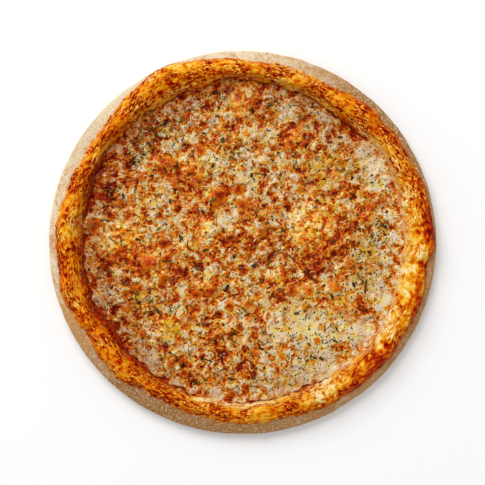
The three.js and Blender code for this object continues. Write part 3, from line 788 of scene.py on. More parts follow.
# Thin places that look dull, with the sauce just below: place, reach and strength.
THIN_DULL = (
    (-80, 84, 26, 0.35), (-108, 44, 14, 0.5), (-48, 108, 16, 0.5), (-9, 86, 5, 0.7), (-102, -48, 14, 0.4),
    (26, -108, 10, 0.7), (95, 72, 8, 0.4), (60, -100, 16, 0.15), (36, -106, 12, 0.3), (62, -20, 13, 0.3),
    (100, -24, 13, 0.25), (-102, -22, 13, 0.3), (18, 100, 13, 0.3), (-98, 20, 10, 0.15),
    (48, -67, 10, 0.25), (66, -91, 8, 0.3), (-27, 92, 10, 0.3), (86, -68, 8, 0.2), (100, 4, 12, 0.2),
    (22, 66, 8, 0.2),
)
# Where the sheet's edge is painted darker, as the shade the rim casts on it: angle, half width in degrees
# and how much.
EDGE_SHADE = (
    (110, 35, 0.5), (178, 34, 1), (222, 16, 0.8), (60, 20, 0.6),
)
# Where yellow oil lies on the cheese: place, reach and strength.
OILY = (
    (78, -47, 8, 1), (70, -56, 7, 0.8), (60, 50, 14, 1), (66, 66, 9, 1), (75, 58, 8, 0.8), (97, -4, 8, 1),
    (85, -26, 8, 0.7), (97, 20, 8, 0.7), (98, -32, 8, 0.7), (-56, -68, 10, 1), (-74, -40, 9, 0.9),
    (-82, -46, 11, 1), (-60, -88, 8, 0.5), (-70, 25, 8, 0.5), (-30, 60, 7, 0.8), (-5, -34, 6, 0.7),
    (27, -28, 6, 0.7), (-86, 12, 6, 0.4), (-25, -13, 4, 0.9), (40, -58, 6, 0.5), (32, 78, 10, 0.7),
    (14, 84, 8, 0.6), (-13, 102, 5, 0.6), (52, 10, 9, 0.6), (-62, 42, 6, 0.6), (0, 50, 9, 0.6),
    (5, -86, 7, 0.5), (20, -45, 9, 0.5), (52, -46, 10, 0.5), (90, 60, 8, 0.5), (-35, 75, 8, 0.4),
    (-30, -70, 9, 0.4), (-100, -60, 7, 0.3), (68, 28, 12, 0.8), (46, 68, 7, 0.7), (90, 34, 8, 0.6),
    (50, -12, 8, 0.5), (92, -8, 10, 0.6), (-58, -60, 13, 0.5), (60, 62, 12, 0.4), (-20, -66, 8, 0.4),
    (-84, -8, 8, 0.4), (-44, -70, 8, 0.5), (-66, -76, 7, 0.4), (-50, 4, 6, 0.4), (34, 60, 8, 0.4),
)
# Where rubbed oregano lies thickest and its dust tints the cheese: place, reach and how much.
HERBS = (
    (-65, 86, 15, 0.8), (-80, 72, 12, 0.8), (-50, 95, 12, 0.6), (-35, 115, 12, 0.6), (-15, 112, 8, 0.6),
    (22, 107, 6, 0.9), (52, 108, 9, 0.7), (68, 99, 7, 0.6), (-104, 28, 8, 0.6), (-84, 62, 5, 1),
    (-9, 72, 9, 0.9), (-13, 80, 6, 0.6), (42, 59, 5, 0.8), (50, 66, 8, 0.4), (85, 55, 9, 0.8),
    (-100, 45, 8, 0.4), (112, 12, 6, 1), (101, 4, 7, 0.7), (28, 8, 9, 0.5), (28, -8, 9, 0.5),
    (35, -18, 6, 0.4), (-70, -46, 10, 0.8), (-57, -52, 6, 0.8), (-35, -20, 6, 0.8), (-6, -10, 4, 0.8),
    (-8, -72, 7, 0.9), (-46, -95, 5, 0.8), (-37, -108, 5, 0.8), (10, -105, 7, 0.8), (-12, -98, 7, 0.5),
    (-106, -48, 8, 0.7), (45, -90, 14, 0.5), (60, -85, 10, 0.4), (85, -8, 14, 0.5), (95, -30, 10, 0.4),
    (108, -25, 6, 0.5), (-30, -28, 5, 0.5), (60, -60, 12, 0.3), (-25, 50, 6, 0.4), (0, 62, 5, 0.4),
    (-80, -38, 8, 0.4), (70, -70, 10, 0.4), (18, -78, 10, 0.4), (98, -6, 8, 0.6), (92, -22, 8, 0.6),
    (88, 12, 5, 0.5), (105, 30, 5, 0.6), (96, 48, 6, 0.5),
)
# Large blisters: place, radius and how dark the middle is.
BLISTERS = (
    (-63, 56, 5.4, 0.85), (-61, 63, 4.2, 0.8), (-55, 64, 3.6, 0.55), (-77, 51, 4.2, 0.62),
    (-86, 33, 4.5, 0.55), (-94, 32, 3.2, 0.66), (-34, 47, 5.2, 0.7), (-52, 46, 3.6, 0.62),
    (-18.5, 36, 7, 0.88), (-4, 41, 5, 0.64), (0, 29, 5.4, 0.66), (-32, 71, 4.8, 0.66), (-42, 98, 4.6, 0.7),
    (36, 76.5, 4.6, 0.62), (43, 87, 4.6, 0.54), (51, 67, 3.6, 0.64), (22, 99, 2.8, 0.6), (17, 52, 2.8, 0.6),
    (25, 44, 2.6, 0.46), (37, 42, 2.6, 0.6), (42, 33, 3, 0.6), (34, 34, 2.4, 0.56), (56, 38, 3, 0.56),
    (67, 37, 3.2, 0.58), (77, 62, 4.6, 0.58), (73, 55, 4, 0.52), (94, 38, 4, 0.58), (99, 27, 5, 0.64),
    (95, 18.5, 3.8, 0.8), (79, 25, 2.8, 0.6), (110, 33, 3, 0.52), (-116, 14, 6, 0.64), (-61, -1, 4.8, 1.05),
    (-54, -7, 3, 0.62), (-58, -13, 4.2, 0.68), (-72, -16, 7, 0.7), (-84, -16, 3.4, 0.8),
    (-80, -21, 3.6, 0.84), (-60, -28, 4, 0.68), (-62, 19, 2.8, 0.66), (-46, 14, 2.8, 0.6),
    (-98, -34, 2.8, 0.58), (-91, -41, 3.6, 0.7), (-84, -36, 4, 0.56), (-91, -52, 3.6, 0.62),
    (-36, -41, 5.6, 0.64), (-24, -38, 5.4, 0.74), (-38, -58, 3.6, 0.66), (-43, -64, 3.8, 0.62),
    (-10, -49, 4.4, 0.66), (1, -22, 4.4, 0.76), (4, -10, 3, 0.64), (3, 0, 3, 0.6), (-12, 25, 2.4, 0.58),
    (-9, 4, 3.8, 0.7), (14, 9, 3.4, 0.7), (31, -20, 3.2, 0.66), (16, -33, 2.8, 0.6), (5, -48, 4, 0.56),
    (20, -57, 3, 0.56), (33, -46, 2.6, 0.56), (38, -38, 4.6, 0.68), (51, -37, 4.6, 0.58), (59, -35, 3, 0.6),
    (71, -34, 4.4, 0.56), (83, -18, 5.4, 0.56), (57, -20, 3.8, 0.66), (50, -50, 3.6, 0.56),
    (73, -52, 3.6, 0.54), (34, -80, 2.6, 0.62), (6, -94, 4.2, 0.62), (-55, -94, 3.8, 0.62),
    (-45, -101, 3.4, 0.76), (-27, -100, 2.4, 0.48), (-50, -77, 2.8, 0.62), (-77, -71, 3.6, 0.7),
    (10, -85, 4, 0.54), (-3, -64, 3.2, 0.72), (58, -76, 2.6, 0.56), (61, -65, 3.6, 0.36),
    (-36, -104, 2.8, 0.6),
)
EDGE_GAP = 2.6  # from the foot of the inner wall to the line where the sheet thickens
EDGE_CREEP = 3.2  # the sheet's thin edge reaches this far past that line
WALL_REACH = 1.8  # where the cheese climbs the inner wall, its edge lies this far past the foot
CLIMB_HEIGHT = 2.6
LUMP_SIZE = 4.2
BALL_SIZE = 3.7


def cheese_radius(angle):
    """Radius of the cheese's wavering edge: a little inside the foot of the rim's inner wall."""
    waver = 0.8 * np.sin(9 * angle + 1.2) + 0.7 * np.sin(16 * angle) + 0.5 * np.sin(41 * angle)
    return bed_radius(angle) - EDGE_GAP - waver


def sheet_radius(angle):
    """Radius of the sheet's thin edge. It creeps past the cheese's radius, hardly so where the sauce line
    shows, and goes a little past the foot of the inner wall where the cheese climbs."""
    frayed = 0.3 * np.sin(53 * angle) + 0.25 * np.sin(87 * angle + 2)
    held_back = humps(SAUCE_LINE, np.degrees(angle)) + frayed
    creep = EDGE_CREEP * (1 - 0.85 * np.clip(held_back, 0, 1))
    creeping = np.minimum(cheese_radius(angle) + creep, bed_radius(angle) + 0.1)
    climbing = np.clip(humps(MERGING, np.degrees(angle)), 0, 1)
    return creeping + climbing * (bed_radius(angle) + WALL_REACH - creeping)


def patches(rows, x, y):
    """Sum of soft round patches: each row's last number times exp(-1.6 (distance / reach) squared)."""
    return sum(s * np.exp(-1.6 * ((x - px) ** 2 + (y - py) ** 2) / reach**2) for px, py, reach, s in rows)


def blistered(x, y, strew):
    """How far inside a blister each point is, its radius less the distance from its middle, with that radius
    and how dark the middle is. The large ones stand at their own places. Small ones are strewn one to a cell
    in two sizes, where a number drawn for the cell is below strew."""
    depth, radius, darkness = np.full(x.shape, -9.0), np.ones(x.shape), np.zeros(x.shape)
    found = [(size - np.hypot(x - px, y - py), size, dark) for px, py, size, dark in BLISTERS]
    for size, largest, salt in ((6.5, 2.7, 151), (3.7, 1.5, 157)):
        far, _, number = cells(x, y, size, salt)
        pick = hashed((number * 1e6).astype(np.int64), 0, 0, salt + 1)
        reach = largest * (0.4 + 0.6 * number)
        dark = 0.4 + 0.24 * pick / np.maximum(strew, 0.1)
        found.append((np.where(pick < strew, reach - far * size, -9), reach, dark))
    for inside, size, dark in found:
        deeper = inside > depth
        radius, darkness = np.where(deeper, size, radius), np.where(deeper, dark, darkness)
        depth = np.maximum(depth, inside)
    return depth, radius, darkness


def melted(x, y):
    """Height of the cheese at each point, and its masks. The sheet's level, long swells and mounds, less 1.5
    times the nearness to the edge to the tenth, carry the detail: lumps, which are 1 - r^2 on warped cells
    where shreds melted together, uneven noise, balls on the mounds and the domes of blisters. It fades at the
    edge, where the cheese climbs the inner wall at places."""
    near = np.hypot(x, y) / sheet_radius(np.arctan2(y, x))
    long_swell = (
        0.45 * np.sin(x / 9.1 + 1.3) * np.cos(y / 11.7 - 0.4)
        + 0.4 * np.sin((x + y) / 7.3) * np.sin((x - y) / 8.9 + 2)
        + 0.25 * np.sin(x / 3.9 + 0.5) * np.sin(y / 4.3 + 1.1)
    )
    mounds = patches(MOUNDS, x, y)
    base = CHEESE_LEVEL + long_swell + mounds - 1.5 * np.minimum(near, 1) ** 10

    flat = np.stack([x, y, 0 * x], axis=-1)
    bend_x = x + 2.6 * layered(flat, 6.5, 101, 3)
    bend_y = y + 2.6 * layered(flat, 6.5, 104, 3)
    pool = np.clip(patches(POOLS, x, y) + 0.2 * layered(flat, 9, 107), 0, 1)
    pale = np.clip(patches(PALE, x, y) + pool, 0, 1)
    browned_here = np.clip(patches(BROWNED, x, y), 0, 1)
    brown = np.clip(mounds / 5.5 + browned_here - 0.6 * pale, 0, 1.2)
    edge = rise(near, 0.86, 0.98)
    angle = np.degrees(np.arctan2(y, x))
    foot_gap = humps(SAUCE_LINE, angle) * rise(near, 0.93, 0.99)
    red = patches(THIN_RED, x, y) + 0.42 * layered(flat, 5, 111) + 0.4 * foot_gap
    red = np.clip(red, 0, 1) * (1 - 0.85 * pale)
    merged = np.clip(humps(MERGING, angle), 0, 1)
    # Thin dull places, with painted shade along the sheet's edge and the rim's painted shadow on the side
    # towards the lamp.
    dull_and_shaded = patches(THIN_DULL, x, y) + 0.3 * edge * (1 - merged) + 0.3 * layered(flat, 9, 113)
    dull_and_shaded = dull_and_shaded + humps(EDGE_SHADE, angle) * rise(near, 0.72, 0.95)
    dull_and_shaded = np.clip(dull_and_shaded, 0, 1) * (1 - 0.6 * pool)
    oily = np.clip(patches(OILY, x, y) + 0.35 * layered(flat, 5, 181, 2) + 0.02, 0, 1) * (1 - edge)
    herbs = np.clip(patches(HERBS, x, y) + 0.3 * layered(flat, 6, 191, 2), 0, 1) * (1 - 0.6 * pool)
    heaped = np.clip(mounds / 3.5, 0, 1)

    lump_far, lump_next, _ = cells(bend_x, bend_y, LUMP_SIZE, 121)
    lump = 1 - np.clip(lump_far / 0.75, 0, 1) ** 2
    gap = 1 - rise((lump_next - lump_far) * LUMP_SIZE, 0.1, 1.2)
    bent = np.stack([bend_x, bend_y, 0 * x], axis=-1)
    blob = layered(bent, 4.4, 185, 3)
    chunk = layered(bent, 9, 195, 2)
    shred = rise(0.11 - np.abs(layered(flat, 7.5, 201, 3)), 0, 0.09) * (1 - 0.5 * heaped) * (1 - 0.6 * pool)
    furrow = rise(0.08 - np.abs(layered(flat, 9, 203, 3)), 0, 0.07) * (1 - 0.8 * pool)
    near_x, near_y = x + 0.45 * (bend_x - x), y + 0.45 * (bend_y - y)
    ball_far, _, ball_number = cells(near_x, near_y, BALL_SIZE, 141)
    ball = np.sqrt(np.clip(1 - (ball_far / 0.62) ** 2, 0, 1))
    depth, radius, darkness = blistered(near_x, near_y, 0.36 + 0.3 * brown - 0.3 * pool - 0.2 * edge)
    large = rise(radius, 2.4, 3.4)
    depth = depth + (0.9 * layered(flat, 2.4, 207, 2) + 0.5 * chunk) * (1 - 0.55 * large)
    in_blister = rise(depth, -0.4, 0.6)
    dome = np.sqrt(np.clip(1 - (1 - np.clip(depth / radius, 0, 1)) ** 2, 0, 1))
    ring = rise(depth, -1.5, -0.5) * (1 - in_blister)

    detail = (
        (0.6 * lump - 0.3 + 0.9 * blob) * (1 - 0.7 * pool) * (1 - 0.5 * heaped)
        + 1.5 * chunk * (1 - 0.7 * pool)
        + 0.5 * shred
        - 0.45 * furrow
        + (1.6 * ball - 0.8) * heaped
        + dome * np.minimum(0.3 * radius, 1) * (1 - 0.5 * pool)
        + 0.25 * ring
        - 0.9 * red
    )
    climbing = merged * rise(near, 0.955, 1)
    height = base + detail * (1 - 0.8 * rise(near, 0.975, 1)) - 0.3 + CLIMB_HEIGHT * climbing
    stain = rise(0.7 * layered(flat, 9, 171, 3) + 0.7 * brown - 1.1 * pale + 0.08, -0.25, 0.45)
    uneven = 0.01 - 0.26 * blob - 0.18 * chunk - 0.13 * shred + 0.13 * furrow
    # Browning of the cheese, partly painted shade and light that follow the relief: browner in the gaps
    # between lumps, in furrows and in low places, paler on raised blobs, chunks and shreds and on the tops of
    # the balls on the mounds.
    toasted_and_shade = (
        0.155
        + 0.35 * stain * (1 - 0.5 * heaped)
        + 0.03 * heaped
        + 0.29 * browned_here * (1 - 0.6 * pale) * (1 - 0.6 * heaped)
        + uneven * (1 - 0.5 * pool) * (1 - 0.5 * heaped) * (1 - 0.35 * pale)
        + (0.12 * (ball_number - 0.5) - 0.26 * (ball - 0.5)) * heaped
        + 0.16 * gap * (1 - 0.8 * pool) * (1 - heaped)
        - 0.1 * (detail - 0.1)
        - 0.26 * pale
        + 0.3 * red
        + 0.05 * pool
        - (0.12 + 0.12 * large) * ring
    )
    middle = rise(depth / radius, 0.1, 0.9)
    toasted_and_shade = toasted_and_shade + in_blister * (0.38 + 0.8 * (darkness - 0.4) * middle - (0.6 + 0.25 * large) * toasted_and_shade)
    masks = {
        "toasted_and_shade": toasted_and_shade,
        "buttery": pool * np.clip(patches(BUTTERY, x, y), 0, 1),
        "red": red,
        "dull_and_shaded": dull_and_shaded,
        "oily": oily,
        "heaped": heaped,
        "herbs": herbs,
        "calmer": np.maximum(0.67 * pale + 0.33 * pool, np.maximum(0.8 * in_blister * large, 0.9 * heaped)),
    }
    return height, masks


def square_faces(n):
    """Corner numbers of the quads of a square grid of point numbers, facing up."""
    return np.stack([n[:-1, :-1], n[1:, :-1], n[1:, 1:], n[:-1, 1:]], axis=-1).reshape(-1, 4)


def round_edge(n):
    """The numbers along the edge of a square grid of point numbers, once round."""
    return np.concatenate([n[:-1, 0], n[-1, :-1], n[:0:-1, -1], n[0, :0:-1]])


# A square grid is drawn out to the round outline, and closed below by a skirt and a fan.
line = np.linspace(-1, 1, CHEESE_STEPS + 1)
u, v = np.meshgrid(line, line, indexing="ij")
nearness = np.maximum(np.abs(u), np.abs(v))
eighth = TURN / 8 * np.minimum(np.abs(u), np.abs(v)) / np.where(nearness == 0, 1, nearness)
first = np.where(np.abs(u) >= np.abs(v), eighth, TURN / 4 - eighth)
grid_angle = np.arctan2(np.where(v < 0, -1, 1) * np.sin(first), np.where(u < 0, -1, 1) * np.cos(first))
spread = nearness * sheet_radius(grid_angle)
x, y = spread * np.cos(grid_angle), spread * np.sin(grid_angle)
cheese_top, cheese_masks = melted(x, y)
side = CHEESE_STEPS + 1
numbers = np.arange(side * side).reshape(side, side)
outline = round_edge(numbers)
top_points = np.stack([x, y, cheese_top], axis=-1).reshape(-1, 3)
skirt = top_points[outline] * [1, 1, 0] + [0, 0, CHEESE_BOTTOM]
cheese_points = np.concatenate([top_points, skirt, [[0, 0, CHEESE_BOTTOM]]])
skirt_numbers = side * side + np.arange(len(outline))
cheese_faces = [
    square_faces(numbers),
    np.stack([outline, skirt_numbers, np.roll(skirt_numbers, -1), np.roll(outline, -1)], axis=-1),
    fan_faces(skirt_numbers, len(cheese_points) - 1),
]
cheese_masks = {
    label: np.concatenate([values.ravel(), values.ravel()[outline], [0]])
    for label, values in cheese_masks.items()
}

# Colour of melted cheese by how far it has browned, shared by the sheet and the strands on it.
CHEESE_COLOURS = (
    (0.0, (0.83, 0.70, 0.51)),
    (0.1, (0.78, 0.56, 0.29)),
    (0.2, (0.73, 0.43, 0.12)),
    (0.32, (0.74, 0.31, 0.022)),
    (0.44, (0.70, 0.19, 0.002)),
    (0.58, (0.60, 0.088, 0.0)),
    (0.74, (0.38, 0.026, 0.0)),
    (1.0, (0.12, 0.004, 0.0)),
)
OIL_YELLOW = (0.80, 0.44, 0.015)
cheese_group, cheese_in, cheese_out = node_group(
    "cheese_browning", [("Toast", "Float", 0.3), ("Oil", "Float", 0.0)], [("Color", "Color")]
)
browning = ramp(cheese_group, cheese_in["Toast"], CHEESE_COLOURS)
not_toasted = ranged(cheese_group, cheese_in["Toast"], 0.6, 0.2)
oil_share = sums(cheese_group, "MULTIPLY", cheese_in["Oil"], not_toasted)
cheese_group.links.new(mixed(cheese_group, oil_share, browning, OIL_YELLOW), cheese_out["Color"])


def browned(tree, toast, oil):
    """The cheese browning group's colour."""
    made = tree.nodes.new("ShaderNodeGroup")
    made.node_tree = cheese_group
    for key, value in (("Toast", toast), ("Oil", oil)):
        if isinstance(value, bpy.types.NodeSocket):
            tree.links.new(value, made.inputs[key])
        else:
            made.inputs[key].default_value = value
    return made.outputs["Color"]


PINKISH = (0.76, 0.42, 0.23)
# What places of their own kind keep of the cheese's red, green and blue: warm patches, buttery pools,
# browned mounds painted brighter as lit, crevices painted as shade, thin dull places with painted shade
# near the rim, and places dusted with herbs.
YELLOWISH = (1.03, 0.99, 0.42)
BUTTERY_SHARE = (1.04, 1.02, 0.82)
HEAP_TONE_AND_LIGHT_SHARE = (1.24, 1.2, 0.75)
CREVICE_SHADE_SHARE = (0.62, 0.38, 0.22)
DULL_AND_SHADE_SHARE = (0.68, 0.51, 0.42)
HERB_DUST = (0.72, 0.69, 0.54)
SAUCE_THROUGH = (0.29, 0.013, 0.001)
melted_cheese, tree, skin = material_tree("melted_cheese")
body = add(tree, "TexCoord").outputs["Object"]
flat_body = add(tree, "VectorMath", {0: body, 1: (1, 1, 0)}, operation="MULTIPLY").outputs[0]
fine = noise(tree, flat_body, 1.7, 3, 0.6)
flow = noise(tree, flat_body, 6, 4, 0.6)
calm = ranged(tree, mask(tree, "calmer"), 0, 1, 1.0, 0.25)
lively = ranged(tree, fine, 0.38, 0.62, -0.18, 0.18)
lively = sums(tree, "ADD", lively, ranged(tree, flow, 0.36, 0.64, -0.21, 0.21))
toast = sums(tree, "MULTIPLY_ADD", lively, calm, mask(tree, "toasted_and_shade"))
oil = broken(tree, "oily", noise(tree, flat_body, 5, 3), 0.36, 0.52)
colour = browned(tree, toast, oil)
warmth = noise(tree, flat_body, 7, 3, 0.6)
colour = multiplied(tree, ranged(tree, warmth, 0.5, 0.36), colour, YELLOWISH)
blush = sums(tree, "MULTIPLY", ranged(tree, warmth, 0.5, 0.64), ranged(tree, toast, 0.62, 0.25, 0.0, 0.38))
colour = mixed(tree, blush, colour, PINKISH)
# Mounds browner, and painted brighter as light on their tops.
colour = multiplied(tree, mask(tree, "heaped"), colour, HEAP_TONE_AND_LIGHT_SHARE)
colour = multiplied(tree, mask(tree, "buttery"), colour, BUTTERY_SHARE)
# Painted shade in small crevices.
painted_crevice_shade = sums(tree, "MULTIPLY", ranged(tree, noise(tree, flat_body, 1.2, 2, 0.6), 0.38, 0.32), calm)
colour = multiplied(tree, painted_crevice_shade, colour, CREVICE_SHADE_SHARE)
# Thin dull places, and painted shade near the rim.
dulled_and_shaded = broken(tree, "dull_and_shaded", noise(tree, flat_body, 3.4, 3), 0.25, 0.5)
colour = multiplied(tree, dulled_and_shaded, colour, DULL_AND_SHADE_SHARE)
dusty = broken(tree, "herbs", noise(tree, flat_body, 2.8, 3, 0.6), 0.36, 0.56)
colour = multiplied(tree, dusty, colour, HERB_DUST)
through = sums(tree, "MULTIPLY_ADD", noise(tree, flat_body, 2.6, 3, 0.6), 1.0, mask(tree, "red"))
through = ranged(tree, through, 0.92, 1.07)
colour = mixed(tree, through, colour, SAUCE_THROUGH)
tree.links.new(colour, skin["Base Color"])
skin["Roughness"].default_value = 0.5
skin["Specular IOR Level"].default_value = 0.06
wet = ranged(tree, noise(tree, body, 2.0, 3, 0.6), 0.56, 0.63)
wet = sums(tree, "MULTIPLY_ADD", mask(tree, "heaped"), 0.2, wet)
wet = sums(tree, "MULTIPLY_ADD", oil, 0.2, wet)
tree.links.new(wet, skin["Coat Weight"])
skin["Coat Roughness"].default_value = 0.14
skin["Coat IOR"].default_value = 1.7
cheese_grain = grained(tree, body, 0.9)
height = sums(tree, "MULTIPLY_ADD", fine, -1.4, sums(tree, "MULTIPLY", cheese_grain["Value"], 0.5))
bumped(tree, skin, height, 0.9, 0.0009)
mesh_piece(
    "cheese_sheet", cheese_points, cheese_faces, cheese_masks, melted_cheese, "melted_cheese", "cheese"
)

# ---------- cheese strands ----------
# Single shreds that kept their shape: pale curled threads lying on the melted sheet, half sunk into it.
STRANDS = 130
STRAND_STEPS = 14
STRAND_SIDES = 6
rng = np.random.default_rng(11)


def scattered(count, spread_out, weight):
    """Places inside the cheese, drawn evenly and kept by chance in proportion to a weight from 0 to 1."""
    found_x, found_y = [], []
    tries = 4 * count
    while sum(map(len, found_x)) < count:
        angle = TURN * rng.random(tries)
        reach = spread_out * np.sqrt(rng.random(tries)) * cheese_radius(angle)
        px, py = reach * np.cos(angle), reach * np.sin(angle)
        keep = rng.random(tries) < weight(px, py)
        found_x.append(px[keep])
        found_y.append(py[keep])
    return np.concatenate(found_x)[:count], np.concatenate(found_y)[:count]


def tubes(centres, radii, sides):
    """Closed tubes along rows of centres, with a radius for each: rings across the path's direction, with
    both ends drawn to a point. Returns points and corner numbers."""
    count, steps, _ = centres.shape
    ahead = np.gradient(centres, axis=1)
    ahead /= np.linalg.norm(ahead, axis=-1, keepdims=True)
    beside = np.cross(ahead, [0, 0, 1.0])
    beside /= np.linalg.norm(beside, axis=-1, keepdims=True)
    above = np.cross(beside, ahead)
    turn = np.arange(sides) * TURN / sides
    ring = np.cos(turn)[:, None] * beside[:, :, None] + np.sin(turn)[:, None] * above[:, :, None]
    points = (centres[:, :, None] + radii[:, :, None, None] * ring).transpose(0, 2, 1, 3)
    block = np.concatenate([points.reshape(count, -1, 3), centres[:, :1], centres[:, -1:]], axis=1)
    grid = ring_faces(sides, steps)
    ends = np.arange(sides) * steps
    caps = np.concatenate([
        fan_faces(ends, sides * steps),
        fan_faces(ends[::-1] + steps - 1, sides * steps + 1),
    ])
    offsets = (np.arange(count) * block.shape[1])[:, None, None]
    return block.reshape(-1, 3), [(grid + offsets).reshape(-1, 4), (caps + offsets).reshape(-1, 3)]


def strand_weight(x, y):
    """Strands lie thickest at four places and thin out on the browned mounds."""
    thick = patches(((-55, 62, 40, 0.6), (85, 40, 40, 0.5), (10, -95, 45, 0.5), (-80, -50, 40, 0.4)), x, y)
    return np.clip(0.3 + thick - 0.5 * patches(MOUNDS, x, y) / 5, 0.05, 1)


strand_x, strand_y = scattered(STRANDS, 0.97, strand_weight)
length = rng.uniform(3.5, 11, STRANDS)
share = np.linspace(-0.5, 0.5, STRAND_STEPS)
heading = TURN * rng.random((STRANDS, 1)) + share * rng.normal(0, 2.6, (STRANDS, 1))
waves = share * rng.uniform(0.6, 1.6, (STRANDS, 1)) + rng.random((STRANDS, 1))
heading = heading + 0.9 * np.sin(TURN * waves)
step = length[:, None] / (STRAND_STEPS - 1)
path_x = np.cumsum(step * np.cos(heading), axis=1)
path_y = np.cumsum(step * np.sin(heading), axis=1)
path_x = path_x - path_x.mean(1, keepdims=True) + strand_x[:, None]
path_y = path_y - path_y.mean(1, keepdims=True) + strand_y[:, None]
over = np.hypot(path_x, path_y) / (cheese_radius(np.arctan2(path_y, path_x)) - 0.8)
path_x, path_y = path_x / np.maximum(over, 1), path_y / np.maximum(over, 1)
strand_radius = rng.uniform(0.35, 0.65, (STRANDS, 1)) * (1 - 0.7 * np.abs(2 * share) ** 4)
path_z = melted(path_x, path_y)[0] + 0.1 * strand_radius
strand_points, strand_faces = tubes(np.stack([path_x, path_y, path_z], -1), strand_radius, STRAND_SIDES)
per_strand = len(strand_points) // STRANDS
on_mound = np.clip(patches(MOUNDS, strand_x, strand_y) / 4, 0, 1)
tone = np.clip(rng.normal(0.2, 0.1, STRANDS) + 0.25 * on_mound, 0, 1)

strand_cheese, tree, skin = material_tree("cheese_strands")
body = add(tree, "TexCoord").outputs["Object"]
strand_grain = grained(tree, body, 1.2)
toast = sums(tree, "SUBTRACT", mask(tree, "tone"), 0.45)
toast = sums(tree, "MULTIPLY_ADD", noise(tree, body, 3, 2), 0.9, toast)
tree.links.new(browned(tree, toast, 0.1), skin["Base Color"])
tree.links.new(ranged(tree, strand_grain["Value"], 0.3, 0.7, 0.3, 0.5), skin["Roughness"])
bumped(tree, skin, strand_grain["Value"], 0.4, 0.0003)
strand_masks = {"tone": np.repeat(tone, per_strand)}
mesh_piece("cheese_strands", strand_points, strand_faces, strand_masks, strand_cheese, "melted_cheese")

# ---------- dried oregano ----------
# Rubbed oregano scattered by hand before baking: curled bits of leaf, needles, bits of stem and dust, dried
# to dark green, olive and grey. A first lot is strewn evenly, some large leaves have their own places, and
# the rest are drawn at random, thickest where the cheese is tinted by it.
LARGE_FLAKES = 64  # strewn evenly, each a golden angle on from the last
SMALL_FLAKES = 1800
STEMS = 90
SPECKS = 6000
FLAKE_ALONG = 5
FLAKE_ACROSS = 3
FLAKE_POINTS = 2 * FLAKE_ALONG * FLAKE_ACROSS
GRAIN_POINTS = 6
GOLDEN_ANGLE = np.pi * (3 - np.sqrt(5))
# Large leaves: place, length, width and turn in degrees.
MAIN_LEAVES = (
    (21, 106, 5, 3, 20), (50, 81, 3.4, 2.4, 60), (66, 78, 4.2, 2, 100), (-84, 62, 3.6, 2, 30),
    (-77, 68, 5, 1.5, 15), (-119, -21, 3, 2, 80), (-89, -22, 3, 2, 40), (-103, -33, 2.6, 1.6, 0),
    (-66, -52, 6.5, 2.6, 135), (112, 24, 5, 2, 45), (110, 12, 4.4, 2.4, 20), (105, 2, 4, 1.6, 60),
    (100, 5, 4.4, 1.6, 110), (-6, -11, 4, 2, 45), (-31, 24, 5, 2, 130), (-46, -95, 4.2, 2.6, 70),
    (-6, -71, 7, 1.6, 120), (14, -82, 6, 2, 160), (-37, -109, 4.4, 3, 10), (10, -105, 4.2, 2.2, 30),
    (52, -78, 6.4, 1.6, 70), (-56, 32, 4.4, 2, 100), (43, 76, 4, 2.4, 150), (-35, -21, 4.4, 3, 60),
    (-9, 66, 4, 2.4, 30), (-15, 79, 4.4, 2.4, 80), (-67, 84, 4.6, 2.6, 120), (-60, 92, 4, 1.8, 30),
    (-72, 76, 3.6, 2, 75), (54, 105, 4, 2, 10), (85, 50, 4, 1.6, 60), (90, 57, 3.6, 1.6, 130),
    (40, 58, 3.6, 2, 95),
)


def scatter(i, k):
    """A repeatable number from 0 to 1 for whole numbers i and k."""
    s = np.sin(i * 127.1 + k * 311.7) * 43758.5453
    return s - np.floor(s)


def flakes(x, y, length, width, thickness, turn, curl):
    """Closed bits of leaf: a small grid drawn in to the pointed outline 1 - 0.85 |s|^2.2, curled by s^2 along
    and t^2 across, with a lower face the thickness below. Each is laid on the cheese at its place, tilted by
    the slope there, and turned."""
    s, t = np.meshgrid(np.linspace(-1, 1, FLAKE_ALONG), np.linspace(-1, 1, FLAKE_ACROSS), indexing="ij")
    outline = 1 - 0.85 * np.abs(s) ** 2.2
    local_x = s[None] * length[:, None, None] / 2
    local_y = (t * outline)[None] * width[:, None, None] / 2
    bow = curl[:, None, None] * (0.35 * (s**2)[None] + 0.5 * (t**2)[None]) * width[:, None, None]
    cos, sin = np.cos(turn)[:, None, None], np.sin(turn)[:, None, None]
    px = x[:, None, None] + local_x * cos - local_y * sin
    py = y[:, None, None] + local_x * sin + local_y * cos
    middle = melted(x, y)[0][:, None, None]
    slope_x = (melted(x + 0.8, y)[0] - melted(x - 0.8, y)[0])[:, None, None] / 1.6
    slope_y = (melted(x, y + 0.8)[0] - melted(x, y - 0.8)[0])[:, None, None] / 1.6
    tilt_x = np.clip(slope_x, -0.6, 0.6) * (px - x[:, None, None])
    tilt_y = np.clip(slope_y, -0.6, 0.6) * (py - y[:, None, None])
    top = middle + (tilt_x + tilt_y) + bow + 0.15 + thickness[:, None, None] * 0.6
    upper = np.stack([px, py, top], -1).reshape(len(x), -1, 3)
    lower = upper - np.stack([0 * thickness, 0 * thickness, thickness], -1)[:, None]
    block = np.concatenate([upper, lower], axis=1)
    n = np.arange(FLAKE_ALONG * FLAKE_ACROSS).reshape(FLAKE_ALONG, FLAKE_ACROSS)
    face = square_faces(n)
    ring = round_edge(n)
    edge = np.stack([ring, ring + n.size, np.roll(ring, -1) + n.size, np.roll(ring, -1)], -1)
    quads = np.concatenate([face, face[:, ::-1] + n.size, edge])
    offsets = (np.arange(len(x)) * FLAKE_POINTS)[:, None, None]
    return block.reshape(-1, 3), (quads + offsets).reshape(-1, 4)


